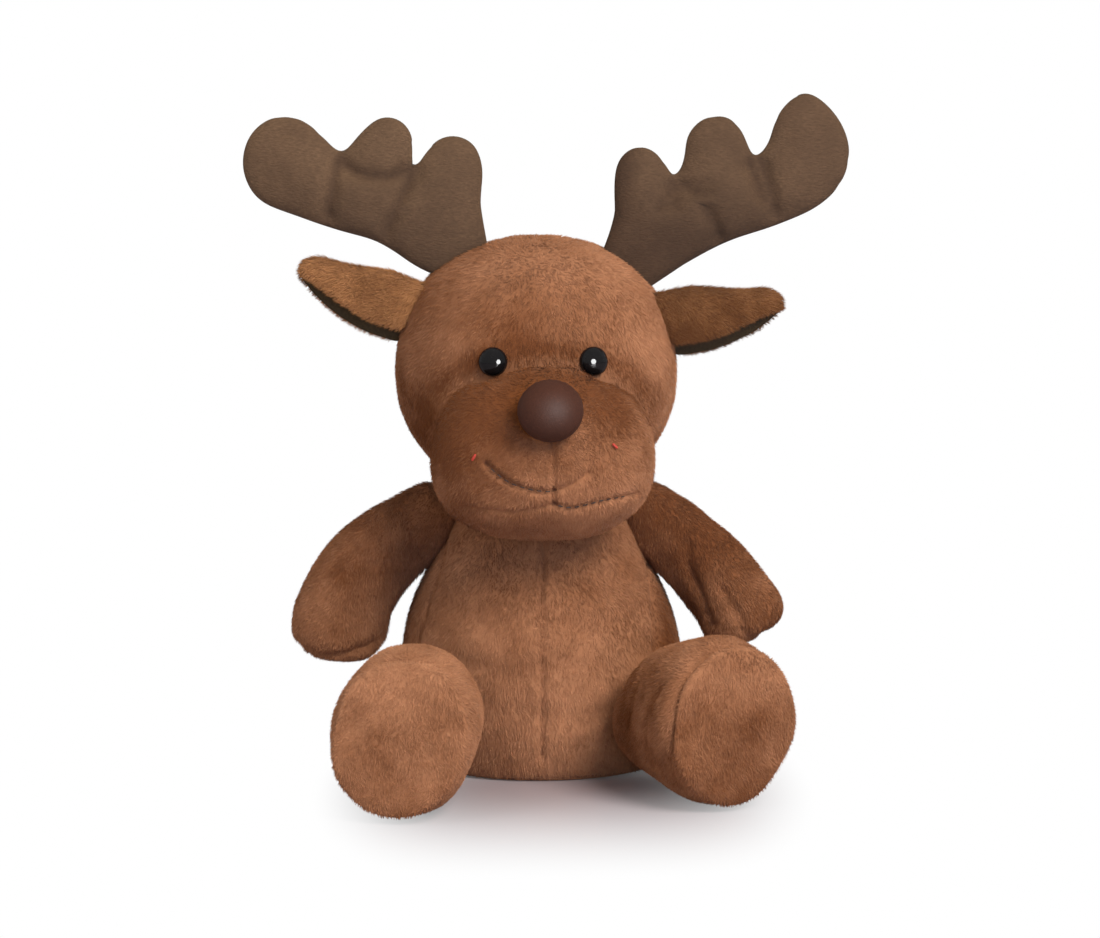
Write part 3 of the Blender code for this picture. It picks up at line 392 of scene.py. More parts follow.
def plush_finish(name, shaded_colour, lit_colour):
    """Short dense pile in two colours of one plush, a dark warm shaded one and a paler lit one:
    painted shade and painted light that stand in for how its nap takes the light.

    Each tuft's tone, its place's painted light with a random part, and clouds of 22 mm choose
    between the two colours, roots are painted darker than tips as shade between the tufts, and
    blots of 3 mm and grains of 0.6 mm break it up. Its sheen shows at the edges.
    """
    made = Finish(
        name,
        Roughness=0.92,
        Specular_IOR_Level=0.15,
        Sheen_Weight=0.14,
        Sheen_Roughness=0.45,
        Sheen_Tint=(1.0, 0.76, 0.56),
    )
    # The mix between the two colours is the painted light and shade kept on the mesh, with random
    # clouds.
    nap = made.mark("tone") + (made.speckle(0.022) - 0.5) * 0.7
    colour = made.mix(nap, shaded_colour, lit_colour)
    grain = made.speckle(0.0006, 3.0)
    patch = made.speckle(0.0035, 3.0)
    # Painted shade: roots darker than tips, as between the tufts, times random blots and grain.
    shade = (made.mark("tip") * 0.22 + 0.76) * (patch * 0.30 + grain * 0.24 + 0.73)
    grey = made.node("ShaderNodeCombineColor", {}, {0: shade, 1: shade, 2: shade})
    made.set("Base Color", made.mix(1.0, colour, grey, "MULTIPLY"))
    made.raised(grain, 0.0003, 0.5)
    return made


# Its two colours are the same plush shaded and lit: painted shade and painted light.
brown_plush = plush_finish("brown plush", (0.168, 0.052, 0.014), (0.555, 0.256, 0.130))


def marked(mesh, **values):
    """Keeps numbers on a mesh's points for its finish to read."""
    for name, value in values.items():
        kept = mesh.attributes.new(name, "FLOAT", "POINT")
        value = np.broadcast_to(value, len(mesh.vertices)).astype(np.float32)
        kept.data.foreach_set("value", value)


def finished(made, finish):
    """Puts one finish on an object."""
    made.data.materials.clear()
    made.data.materials.append(finish.material)


def dressed(made, body, finish=brown_plush, slot="plush", root=None):
    """Gives a piece its finish and its body. The slot is not used.

    With a root, a body with two places, the piece is not attached to its body; its place is only
    worked into its mesh.
    """
    finished(made, finish)
    if root is None:
        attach(made, body)
    else:
        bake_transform(made)


def at(value, points):
    """A value at points: the same at all, or worked out there by a function."""
    return value(points) if callable(value) else value


def plush_skin(made, node, body, painted_light, fill, root=None, finish=brown_plush, slot="plush"):
    """Finishes a stuffed plush skin, which lies under its pile and stands for a solid."""
    # The skin is painted with the dark shade of pile roots and with its place's painted light and
    # shade.
    marked(made.data, tip=0.45, tone=at(painted_light, mesh_arrays(made.data)[0]))
    dressed(made, body, finish, slot, root)
    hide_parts(node)


tuft_lean = 67
tuft_half_width = 0.00026
tuft_sunk = 0.00008
tuft_ridge = 0.00006


def pile(name, skin, body, count, nap, painted_light, seed, length=0.0020, bare=None, seams=(), **dress):
    """Tufts over a skin: slender flat blades, ridged on top, that lean along the nap.

    Roots are spread evenly over the skin's area, none where bare() is true and few on a seam.
    Each tip lies at length from its root, between the skin's normal and the nap, and the nap is
    turned by noise of 5 and 16 mm, so that neighbours lean together in clumps. The painted light
    and shade given for each place says how much of the lit colour it has.
    """
    draw = np.random.default_rng(seed)
    points, triangles, normals = mesh_arrays(skin.data)
    corner = points[triangles]
    middle = corner.mean(1)
    edges = corner[:, 1:] - corner[:, :1]
    area = np.linalg.norm(np.cross(edges[:, 0], edges[:, 1]), axis=1)
    for line in seams:
        area = area * (1 - 0.85 * bell(nearest_on_line(middle, line), 0, 0.0010))
    if bare is not None:
        area = area * ~bare(middle)
    chosen = triangles[np.sort(draw.choice(len(triangles), count, p=area / area.sum()))]
    u, v = np.sqrt(draw.random(count)), draw.random(count)
    share = np.stack([1 - u, u * (1 - v), u * v], -1)[..., None]
    foot = (points[chosen] * share).sum(1)
    up = (normals[chosen] * share).sum(1)
    up = up / np.linalg.norm(up, axis=1, keepdims=True)
    clump = soft_noise(foot, 0.005, seed + 1)
    swirl = soft_noise(foot, 0.016, seed + 2)
    flow = at(nap, foot) + 0.35 * clump + 0.40 * swirl + 0.20 * draw.normal(size=(count, 3))
    flow = flow - (flow * up).sum(1, keepdims=True) * up
    flow = flow / np.maximum(np.linalg.norm(flow, axis=1, keepdims=True), 1e-6)
    angle = np.radians(tuft_lean + 6 * clump[:, :1] + draw.normal(0, 5, (count, 1)))
    long = length * (0.86 + 0.16 * swirl[:, :1] + 0.22 * draw.random((count, 1)))
    across = np.cross(up, flow)
    half = tuft_half_width * across
    sunk = foot - tuft_sunk * up
    ridge = foot + tuft_ridge * up
    top = foot + long * (np.cos(angle) * up + np.sin(angle) * flow)
    places = np.stack([sunk + half, sunk - half, ridge, top], 1).reshape(-1, 3)
    places[:, 2] = np.maximum(places[:, 2], 0.0002)
    index = np.arange(count)[:, None, None] * 4
    faces = (index + np.array([[0, 2, 3], [1, 3, 2], [0, 3, 1], [0, 1, 2]])).reshape(-1, 3)
    made = new_spikes(name, places, faces)
    # Each tuft's painted light and shade, with random clumps and swirls of tone of its own.
    tone = at(painted_light, foot) + 0.12 * clump[:, 1] + 0.14 * swirl[:, 1]
    tone = tone + 0.08 * draw.normal(size=count)
    # Roots are painted darker than tips, as shade between the tufts.
    tips = np.tile([0.1, 0.1, 0.5, 1.0], count)
    marked(made.data, tone=np.repeat(np.clip(tone, 0, 1), 4), tip=tips)
    cells_on_map(made.data, count)
    dressed(made, body, **dress)


def new_spikes(name, places, faces):
    """An object of loose triangles that already face outwards."""
    mesh = bpy.data.meshes.new(name)
    mesh.vertices.add(len(places))
    mesh.vertices.foreach_set("co", places.astype(np.float32).ravel())
    mesh.loops.add(faces.size)
    mesh.loops.foreach_set("vertex_index", faces.astype(np.int32).ravel())
    mesh.polygons.add(len(faces))
    mesh.polygons.foreach_set("loop_start", np.arange(0, faces.size, 3, dtype=np.int32))
    mesh.update(calc_edges=True)
    mesh.shade_flat()
    return set_in_scene(name, mesh)


def cells_on_map(mesh, count):
    """Gives each spike its own small square of the map that the finish is baked on."""
    side = math.ceil(math.sqrt(count))
    cell = np.stack(np.divmod(np.arange(count), side), -1)[:, ::-1]
    low, right, high, middle = (0.06, 0.06), (0.94, 0.06), (0.5, 0.94), (0.5, 0.36)
    spare = ((0.02, 0.80), (0.12, 0.98), (0.02, 0.98))
    loops = np.array([low, high, middle, right, middle, high, low, middle, right, *spare])
    spots = (cell[:, None, :] + loops[None]) / side
    layer = mesh.uv_layers.new(name="OFBake")
    layer.data.foreach_set("uv", spots.astype(np.float32).ravel())


def oval_rows(wide, deep, heights, columns):
    """Rings round the Z axis: an oval of each half width and half depth at each height."""
    angle = np.arange(columns) * 2 * np.pi / columns
    x = wide[:, None] * np.cos(angle)
    y = deep[:, None] * np.sin(angle)
    return np.stack([x, y, np.broadcast_to(heights[:, None], x.shape)], -1)


torso_heights = np.concatenate([[0.022, 0.05], np.linspace(0.10, 0.955, 24), [0.975]])
torso_sizes = read_shares(torso_shares, torso_heights) * (torso_half_width, torso_half_depth)
torso_sizes = (torso_sizes - drawn_in).T
torso_rows = oval_rows(*torso_sizes, torso_heights * torso_height, 72)
under = torso_rows[:1] * (0.97, 0.97, 1.0) - (0, 0, 0.0004)
lid = torso_rows[-1:] * (0.70, 0.70, 1.0) + (0, 0, 0.0006)
torso_rows = np.concatenate([under * (0.5, 0.5, 1.0), under, torso_rows, lid])
torso = closed_skin("torso_skin", torso_rows, (0, 0, under[0, 0, 2]), (0, 0, lid[0, 0, 2]))
stuffed(torso, 2)
torso_seams = [(laid_on(torso, line), depth, 0.0014) for line, depth in torso_seam_lines]
pressed(torso, torso_seams, lump=0.0010)
pressed(torso, [(laid_on(torso, line), 0.0011, 0.0050) for line in belly_folds])


def past_torso(points):
    """About how far points lie outside the torso's pear, negative inside it."""
    size = read_shares(torso_shares, points[:, 2] / torso_height)
    size = size * (torso_half_width, torso_half_depth)
    return (np.hypot(points[:, 0] / size[:, 0], points[:, 1] / size[:, 1]) - 1) * size.mean(1)


def torso_painted_light(points):
    """Painted light and shade on the torso: a pool of light on the front of the belly, and painted
    shade on the left flank; the chest keeps the darker base.
    """
    belly = ((points[:, 0] - 0.004) / 0.042) ** 2 + ((points[:, 2] - 0.032) / 0.036) ** 2
    flank = np.clip((points[:, 0] - 0.046) / 0.006, 0, 1)
    return 0.37 + 0.31 * np.exp(-belly) * (points[:, 1] < 0) - 0.35 * flank


plush_skin(torso, "torso", "torso", torso_painted_light, 0.8)


def hanging_nap(points):
    """The nap of the torso: down and a little outwards."""
    flow = points * (6.0, 0.0, 0.0)
    flow[:, 2] = -1
    return flow


def under_torso(points):
    """True on the flat of the seat and under the neck, where there is no pile to see."""
    flat = (points[:, 2] < 0.004) & (np.hypot(points[:, 0] / 0.048, points[:, 1] / 0.042) < 1)
    top = (points[:, 2] > 0.1135) & (np.hypot(points[:, 0], points[:, 1]) < 0.021)
    return flat | top


torso_lines = [line for line, _, _ in torso_seams]
covered = {"bare": under_torso, "seams": torso_lines}
pile("torso_pile", torso, "torso", 49000, hanging_nap, torso_painted_light, 11, **covered)

# Seat: a flat oval of the same plush, sewn round its rim to the torso, and inside it the small
# cotton bag of plastic pellets that keeps the toy sitting.
seat_wide = torso_shares[0][1] * torso_half_width - fabric_depth
seat_deep = torso_shares[0][2] * torso_half_depth - fabric_depth
seat_profile = np.array(((0.4, 0.0), (0.97, 0.0), (1.0, 0.0008), (0.99, 0.0018), (0.4, 0.0018)))
seat_rows = oval_rows(
    seat_profile[:, 0] * seat_wide, seat_profile[:, 0] * seat_deep, seat_profile[:, 1], 96
)
seat = closed_skin("seat_skin", seat_rows, (0, 0, 0), (0, 0, 0.0018))
# Painted shade: the seat takes the dark of pile roots and much of the shaded colour.
marked(seat.data, tip=0.1, tone=0.3)
dressed(seat, "torso")
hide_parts("seat_panel")

cotton = Finish("pellet bag cotton", Roughness=0.9)
warp, weft = (
    cotton.node(
        "ShaderNodeTexWave",
        {"wave_type": "BANDS", "bands_direction": way},
        {"Vector": cotton.place(), "Scale": 600.0},
    )
    for way in "XY"
)
weave = warp * weft
cotton.set("Base Color", cotton.mix(weave, (0.50, 0.45, 0.36), (0.62, 0.57, 0.47)))
cotton.raised(weave, 0.0002)
finished(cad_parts["pellet_bag"], cotton)

# Neck: firm fibre gathered under a cap of plush, the ball that the head turns and nods on.
neck_height = 0.106
neck_radius = 0.0240
neck_lowest = math.asin((torso_height + 0.0004 - neck_height) / neck_radius)
neck_rise = np.linspace(neck_lowest, 1.45, 14)
neck_wide = neck_radius * np.cos(neck_rise)
neck_rows = oval_rows(neck_wide, neck_wide, neck_height + neck_radius * np.sin(neck_rise), 64)
neck_rows = np.concatenate([neck_rows[:1] * (0.5, 0.5, 1.0), neck_rows])
neck_top = (0, 0, neck_height + neck_radius)
neck = closed_skin("neck_skin", neck_rows, (0, 0, neck_rows[0, 0, 2]), neck_top)
# Painted shade: the neck cap takes the dark of pile roots.
marked(neck.data, tip=0.2, tone=0.4)
dressed(neck, "neck")
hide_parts("neck_stuffing")

# Head: a full ball of the same plush over fibre, hollow below where it sits on the neck. Its skin
# is the solid's surface, remeshed at one size with the eye pockets shut, and blown out as cloth.
head_lean = -0.0025
head_middle = np.array((head_lean, 0.0, 0.168))
head_half = np.array((0.0605, 0.0550, 0.0570))
head_fullness = 2.15
face_turn = math.radians(3.5)
eye_spread = 0.0210
eye_height = 0.1755
eye_sink = 0.0010
eye_radius = 0.0060


def on_face(x, reach, z):
    """A point given from the face's own middle, as across, forward and up."""
    x, reach, z = np.broadcast_arrays(x, reach, z)
    return np.stack(
        [
            head_lean + x * math.cos(face_turn) + reach * math.sin(face_turn),
            x * math.sin(face_turn) - reach * math.cos(face_turn),
            z,
        ],
        -1,
    )


def eye_place(side):
    """Where an eye sits on the head's front, and the way that the head faces there."""
    x = on_face(side * eye_spread, head_half[1], eye_height)[0]
    up = abs(eye_height - head_middle[2]) / head_half[2]
    flat = (1 - up**head_fullness) ** (1 / head_fullness)
    y = -head_half[1] * math.sqrt(flat**2 - ((x - head_lean) / head_half[0]) ** 2)
    facing = (np.array((x, y, eye_height)) - head_middle) / head_half**2
    facing = facing / np.linalg.norm(facing)
    return np.array((x, y, eye_height)) - facing * eye_sink, facing


def copied_solid(node):
    """A copy of a solid's mesh, its doubles merged, to work on."""
    work = bmesh.new()
    work.from_mesh(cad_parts[node].data)
    bmesh.ops.remove_doubles(work, verts=work.verts, dist=2e-6)
    return work


def made_from(work, name):
    """An object of a mesh that has been worked on."""
    mesh = bpy.data.meshes.new(name)
    work.to_mesh(mesh)
    work.free()
    return set_in_scene(name, mesh)


def taken_from(node, name, size, inward, pockets=()):
    """A skin from a copy of a solid: pockets shut, remeshed at one size, smoothed and drawn in."""
    work = copied_solid(node)
    for place, facing, radius in pockets:
        axis = Vector(facing)
        found = []
        for face in work.faces:
            arm = face.calc_center_median() - Vector(place)
            if arm.dot(axis) > -0.02 and (arm - arm.dot(axis) * axis).length < radius:
                found.append(face)
        bmesh.ops.delete(work, geom=found, context="FACES")
        rim = [edge for edge in work.edges if edge.is_boundary]
        bmesh.ops.holes_fill(work, edges=rim, sides=0)
    bmesh.ops.recalc_face_normals(work, faces=work.faces)
    made = made_from(work, name)
    remesh = made.modifiers.new("even", "REMESH")
    remesh.mode = "VOXEL"
    remesh.voxel_size = size
    relax = made.modifiers.new("relax", "SMOOTH")
    relax.factor = 0.5
    relax.iterations = 5
    worked_in(made)
    points, _, normals = mesh_arrays(made.data)
    return moved_to(made, points - normals * inward)


eye_pockets = [(*eye_place(side), eye_radius + 0.0012) for side in (-1, 1)]
head = taken_from("head", "head_skin", 0.0040, drawn_in, eye_pockets)
stuffed(head, 2)
muzzle_half_width = 0.0475
muzzle_rise = 0.0420
muzzle_drop = 0.0360
muzzle_height = 0.137
muzzle_roundness = 2.3


def inside_muzzle(points):
    """How far points in front of the head lie inside the muzzle's outline: 1 at its middle."""
    away = points - head_middle * (1, 1, 0)
    x = away[:, 0] * math.cos(face_turn) + away[:, 1] * math.sin(face_turn)
    forward = away[:, 0] * math.sin(face_turn) - away[:, 1] * math.cos(face_turn)
    up = points[:, 2] - muzzle_height
    tall = np.where(up > 0, muzzle_rise, muzzle_drop)
    flat = np.abs(x / muzzle_half_width) ** muzzle_roundness + np.abs(up / tall) ** muzzle_roundness
    return np.where(forward > 0.012, 1 - flat ** (1 / muzzle_roundness), -1)


def past_head(points):
    """About how far points lie outside the head's ball, negative inside it."""
    away = (points - head_middle) / head_half
    flat = np.hypot(away[:, 0], away[:, 1])
    size = (flat**head_fullness + np.abs(away[:, 2]) ** head_fullness) ** (1 / head_fullness)
    return (size - 1) * head_half[1]


eye_dents = [
    (np.stack([place, place + facing * 1e-5]), 0.0002, 0.0072) for place, facing, _ in eye_pockets
]
pressed(head, eye_dents, lump=0.0008, lump_size=0.026, seed=3)


def head_painted_light(points):
    """Painted light and shade on the head: paler towards its left side and on the crown, with
    painted shadow round the muzzle and painted shade on the brow.
    """
    crown = 3.0 * np.clip(points[:, 2] - 0.205, 0, 1)
    shadow = bell(inside_muzzle(points), -0.04, 0.10) * (points[:, 1] < 0)
    brow = bell(points[:, 2], 0.191, 0.014) * (points[:, 1] < -0.020)
    brow = brow * bell(points[:, 0], head_lean, 0.032)
    return 0.46 + 3.0 * points[:, 0] + crown - 0.30 * shadow - 0.28 * brow


plush_skin(head, "head", "head", head_painted_light, 0.9)


def hidden_on_head(points):
    """True round the eyes, behind the muzzle and in the hollow of the neck."""
    forward = points[:, 1] < -0.038
    eyes = [np.linalg.norm(points - place, axis=1) < 0.0050 for place, _, _ in eye_pockets]
    hollow = (points[:, 2] < 0.132) & (np.hypot(points[:, 0], points[:, 1]) < 0.029)
    behind = (inside_muzzle(points) > 0.10) & forward
    return eyes[0] | eyes[1] | behind | hollow


def head_nap(points):
    """The nap of the head: down and back from the crown and the face."""
    flow = (points - head_middle) * (14.0, 10.0, 0.0)
    flow[:, 2] = -1
    flow[:, 1] += 0.25 + 30.0 * np.clip(points[:, 2] - 0.200, 0, 0.02)
    return flow


pile("head_pile", head, "head", 49000, head_nap, head_painted_light, 21, bare=hidden_on_head)

# Muzzle: two side panels and a chin gusset of the same plush, sewn to the face round a wide egg,
# with a seam down its middle and a smile stitched into its pile in dark thread.
# The place on the lip where three of its lines meet.
lip_point = (5.5, -81.9, 120.4)
# Its lines, each with its depth: the middle seam, the smile's right and left, and the lip's.
muzzle_line_places = (
    (
        ((4.6, -84, 149), (4.7, -84.7, 147.2), (5.1, -85.6, 137.3), (5.5, -84.4, 127.2), lip_point),
        0.0016,
    ),
    (
        ((-22.4, -82.6, 137.8), (-19.6, -83.4, 134.6), (-14.4, -84.5, 130.8), (-5.7, -84.8, 127.2))
        + ((4.7, -84.2, 125.9),),
        0.0024,
    ),
    (
        ((5.2, -84.2, 126.2), (7.9, -84.2, 127.1), (14.2, -83.7, 129.9), (19.8, -82.6, 134.2)),
        0.0012,
    ),
    (
        (lip_point, (11.5, -80.6, 118.6), (23.1, -78.4, 121), (31.6, -74, 122.2))
        + ((39.4, -66.5, 122.8),),
        0.0020,
    ),
    (
        (lip_point, (-4.5, -81.1, 117.9), (-16.5, -78.8, 116.8), (-24.6, -76.3, 117.6))
        + ((-31.9, -71.9, 117.8),),
        0.0009,
    ),
)
muzzle = taken_from("muzzle", "muzzle_skin", 0.0030, drawn_in, eye_pockets)
stuffed(muzzle, 2)
muzzle_points, _, _ = mesh_arrays(muzzle.data)
behind = np.clip((-0.047 - muzzle_points[:, 1]) / -0.012, 0, 1)[:, None]
moved_to(muzzle, muzzle_points + behind * (0, 0.003, 0))
muzzle_creases = [(laid_on(muzzle, line), depth, 0.0013) for line, depth in muzzle_line_places]
muzzle_lines = [line for line, _, _ in muzzle_creases]
pressed(muzzle, muzzle_creases, lump=0.0006, lump_size=0.018, seed=5)


def muzzle_painted_light(points):
    """Painted light and shade on the muzzle: darker over its top and towards its right side, paler
    on the lips and the chin, with a painted pale rim round its outline.
    """
    top = bell(points[:, 2], 0.163, 0.015)
    cheek = np.clip(9 * (points[:, 0] - 0.004), -0.42, 0.10)
    lips = bell(points[:, 2], 0.124, 0.012)
    rim = np.clip(0.16 - inside_muzzle(points), 0, 0.16) * (points[:, 1] < -0.040)
    chin = np.clip((0.118 - points[:, 2]) / 0.010, 0, 1)
    return 0.24 + cheek - 0.34 * top + 0.26 * lips + 1.6 * rim + 0.14 * chin


plush_skin(muzzle, "muzzle", "head", muzzle_painted_light, 0.9)
nose_offset = 0.0008
nose_reach = 0.0878
nose_height = 0.1592
nose_footing = 0.0112


def hidden_on_muzzle(points):
    """True under the nose and on the back against the head."""
    nose = on_face(nose_offset, nose_reach - 0.0010, nose_height)
    nose = np.linalg.norm(points - nose, axis=1) < nose_footing
    return nose | (past_head(points) < -0.0012)


def muzzle_nap(points):
    """The nap of the muzzle: away from the nose, and down."""
    flow = (points - (0.0037, -0.09, nose_height)) * (16.0, 0.0, 12.0)
    flow[:, 2] -= 0.35
    return flow


covered = {"bare": hidden_on_muzzle, "seams": muzzle_lines}
pile("muzzle_pile", muzzle, "head", 26000, muzzle_nap, muzzle_painted_light, 31, **covered)


def stitches(name, lines, long, gap, radius):
    """Stitches along lines, each a slender bead that is long and then skips the gap."""
    paths = [smooth_line(line, (long + gap) / 4) for line in lines]
    starts = np.concatenate([path[:-4:4] for path in paths])
    runs = np.concatenate([path[4::4][: len(path[:-4:4])] for path in paths]) - starts
    runs = runs * (long / (long + gap))
    share = (1 - np.cos(np.linspace(0, np.pi, 9)[1:-1])) / 2
    size = radius * (1 - (2 * share - 1) ** 4) ** 0.5
    side = np.cross(runs, (0.0, -1.0, 0.0))
    side = side / np.linalg.norm(side, axis=1, keepdims=True)
    up = np.cross(side, runs) / np.linalg.norm(runs, axis=1, keepdims=True)
    angle = np.arange(8) * np.pi / 4
    ring = np.cos(angle)[:, None] * side[:, None] + np.sin(angle)[:, None] * up[:, None]
    middle = starts[:, None] + share[:, None] * runs[:, None]
    rows = middle[:, :, None] + size[:, None, None] * ring[:, None]
    return closed_skin(name, rows, starts, starts + runs)


def spun_thread(name, dark, light):
    """Twisted thread, paler on its turns."""
    made = Finish(name, Roughness=0.6, Specular_IOR_Level=0.3)
    turns = made.speckle(0.0003, 1.0)
    made.set("Base Color", made.mix(turns, dark, light))
    made.raised(turns, 0.0001)
    return made


dark_thread = spun_thread("dark thread", (0.022, 0.009, 0.005), (0.060, 0.026, 0.014))
smile_lines = [muzzle_lines[1][2:], muzzle_lines[3][1:-4]]
smile = stitches("smile_stitches", smile_lines, 0.0021, 0.0013, 0.00028)
dressed(smile, "head", dark_thread)
red_thread = spun_thread("red thread", (0.36, 0.020, 0.012), (0.62, 0.060, 0.030))
thread_ends = (
    ((-28.6, -81.6, 138.2), (-27.0, -81.9, 141.0)),
    ((29.2, -79.6, 145.6), (31.6, -78.9, 143.4)),
    ((2.2, -86.2, 128.0), (4.2, -86.4, 129.6)),
)
muzzle_points, _, muzzle_normals = mesh_arrays(muzzle.data)
end_places = np.array(thread_ends).reshape(-1, 1, 3) * millimetre
nearest = ((muzzle_points - end_places) ** 2).sum(2).argmin(1)
end_lines = (muzzle_points + 0.0010 * muzzle_normals)[nearest].reshape(-1, 2, 3)
ends = stitches("thread_ends", end_lines, 0.0030, 0.0001, 0.00055)
dressed(ends, "head", red_thread)

# Nose: a stuffed ball of dark brown velvet, gathered behind and sewn to the muzzle.
nose_half_width = 0.0132
nose_half_height = 0.0125
nose_half_depth = 0.0110
gathers = 13
gather_depth = 0.030
nose_polar = np.radians(np.linspace(4, 176, 44))[:, None]
nose_round = np.arange(96) * 2 * np.pi / 96
gathered = np.clip(-np.cos(nose_polar) + 0.35, 0, 1) * np.cos(gathers * nose_round) ** 2
nose_gather = 1 - gather_depth * gathered
nose_rows = on_face(
    nose_offset + nose_half_width * np.sin(nose_polar) * np.cos(nose_round) * nose_gather,
    nose_reach + nose_half_depth * np.cos(nose_polar) + 0 * nose_round,
    nose_height + nose_half_height * np.sin(nose_polar) * np.sin(nose_round) * nose_gather,
)
nose = closed_skin(
    "nose_ball",
    nose_rows,
    on_face(nose_offset, nose_reach + nose_half_depth, nose_height),
    on_face(nose_offset, nose_reach - nose_half_depth, nose_height),
)
velvet = Finish("nose velvet", Roughness=0.6, Specular_IOR_Level=0.16)
flock = velvet.speckle(0.0005)
velvet.set("Base Color", velvet.mix(flock, (0.040, 0.013, 0.007), (0.072, 0.024, 0.013)))
velvet.raised(flock, 0.0002, 0.6)
dressed(nose, "head", velvet, "nose_velvet")
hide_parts("nose")

# Eyes: black plastic safety eyes, each a polished dome and its shank in one moulding, pushed
# through the face and held by a washer inside the head.
eye_dome = 0.0042
eye_edge = 0.0008
shank_radius = 0.0020
shank_length = 0.0130
eye_set_in = 0.0012


def turned_piece(name, profile, place, facing, columns=64):
    """A profile of radius and height rows carried round an axis through a place."""
    side = np.cross(facing, (0, 0, 1))
    side = side / np.linalg.norm(side)
    up = np.cross(side, facing)
    angle = np.arange(columns) * 2 * np.pi / columns
    radius = profile[1:-1, :1, None]
    ring = np.cos(angle)[:, None] * side + np.sin(angle)[:, None] * up
    rows = place + radius * ring + profile[1:-1, 1:, None] * facing
    return closed_skin(name, rows, place + profile[0, 1] * facing, place + profile[-1, 1] * facing)


moulded = Finish("eye plastic", Specular_IOR_Level=0.25)
flow_mark = moulded.speckle(0.004)
moulded.set("Base Color", moulded.mix(flow_mark, (0.004, 0.004, 0.005), (0.009, 0.008, 0.008)))
moulded.set("Roughness", flow_mark * 0.05 + 0.045)
eye_arc = np.radians(np.linspace(88, 0, 26))
eye_profile = np.concatenate(
    [
        [(0, eye_edge + eye_dome)],
        np.column_stack([eye_radius * np.cos(eye_arc), eye_edge + eye_dome * np.sin(eye_arc)]),
        [(eye_radius, 0.0002), (eye_radius - 0.0002, 0), (shank_radius, 0)],
        [(shank_radius, -shank_length), (0, -shank_length)],
    ]
)
for side, word in ((-1, "right"), (1, "left")):
    place, facing = eye_place(side)
    eye = turned_piece(f"eye_bead_{word}", eye_profile, place - eye_set_in * facing, facing)
    eye.data.set_sharp_from_angle(angle=math.radians(40))
    dressed(eye, "head", moulded, "eye_plastic")
    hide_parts(f"eye_{word}")

clip_plastic = Finish("washer plastic", Roughness=0.5)
cloudy = clip_plastic.mix(clip_plastic.speckle(0.002), (0.66, 0.66, 0.64), (0.74, 0.74, 0.72))
clip_plastic.set("Base Color", cloudy)
for word in ("right", "left"):
    finished(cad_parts[f"eye_washer_{word}"], clip_plastic)

# Ears: a leaf of golden plush folded over along its top, with a smooth olive lining inside the
# fold, pinched together and sewn to the side of the head.
ear_height = {"right": 0.195432, "left": 0.189803}
ear_joint_spread = {"right": 0.059406, "left": 0.056723}
ear_tilt = {"right": math.radians(18), "left": math.radians(6)}
ear_root_forward = 0.008
ear_sewn = {"reach": 0.011, "depth": 0.0052}
# Its two colours are the same golden plush shaded and lit: painted shade and painted light.
golden_plush = plush_finish("golden plush", (0.170, 0.063, 0.019), (0.560, 0.262, 0.105))
lining_cloth = Finish("ear lining", Roughness=0.85, Specular_IOR_Level=0.1)
nap_streak = lining_cloth.speckle(0.0012, 3.0)
lining_colours = ((0.028, 0.018, 0.008), (0.064, 0.042, 0.019))
lining_cloth.set("Base Color", lining_cloth.mix(nap_streak, *lining_colours))
lining_cloth.raised(nap_streak, 0.0003)


def rounded_copy(node, name, levels, inward):
    """A skin from a copy of a thin folded solid, its triangles paired and rounded."""
    work = copied_solid(node)
    bmesh.ops.recalc_face_normals(work, faces=work.faces)
    bmesh.ops.join_triangles(
        work, faces=work.faces, angle_face_threshold=0.9, angle_shape_threshold=1.2
    )
    made = made_from(work, name)
    subdivided(made, levels)
    points, _, normals = mesh_arrays(made.data)
    return moved_to(made, points - normals * inward)


def bends_from(body, joint, way, behind, ahead):
    """The root of a piece: what it is sewn to, and two places on a way, behind and ahead of its
    joint.
    """
    return body, joint - behind * way, joint + ahead * way


for side, word in ((-1, "right"), (1, "left")):
    outward = np.array((side * math.cos(ear_tilt[word]), 0, math.sin(ear_tilt[word])))
    joint = np.array((side * ear_joint_spread[word], -ear_root_forward, ear_height[word]))
    ear_root = bends_from("head", joint, outward, behind=0.004, ahead=0.008)
    ear = rounded_copy(f"ear_{word}_outer", f"ear_{word}_fold", 2, 0.0004)
    pressed(ear, [], lump=0.0004, lump_size=0.012, seed=41)
    sewn_on(ear, past_head, **ear_sewn)
    # The right ear is painted paler and the left one darker: painted light and painted shade.
    ear_painted_light = 0.285 - 0.215 * side
    gold = {"root": ear_root, "finish": golden_plush, "slot": "ear_plush"}
    plush_skin(ear, f"ear_{word}_outer", f"ear_{word}", ear_painted_light, 0.2, **gold)
    lining = rounded_copy(f"ear_{word}_lining", f"ear_{word}_inside", 2, 0.0)
    sewn_on(lining, past_head, **ear_sewn)
    dressed(lining, f"ear_{word}", lining_cloth, "ear_lining", ear_root)
    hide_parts(f"ear_{word}_lining")

    def inner_side(points, lining=lining):
        """True on the side of the fold that lies against the lining."""
        held = mesh_arrays(lining.data)[0][::3]
        apart = (points**2).sum(1)[:, None] + (held**2).sum(1) - 2 * points @ held.T
        return apart.min(1) < 0.0016**2

    gold.update(length=0.0030, bare=inner_side)
    ear_nap = (side, 0.0, -0.7)
    pile(f"ear_{word}_pile", ear, f"ear_{word}", 12000, ear_nap, ear_painted_light, 43 + side, **gold)

# Antlers: two flat panels each of dark brown velour, sewn round the edge and stuffed, so that the
# cloth puckers in from every hollow of the outline. The panels are blown out as cloth.
antler_flatten = 0.40
antler_reach = 0.0055
antler_forward = 0.0040
pucker_depth = 0.0022
# Where the panels' front and back are looked for, in millimetres forward and back.
panel_sides = (-11.0, 4.0)
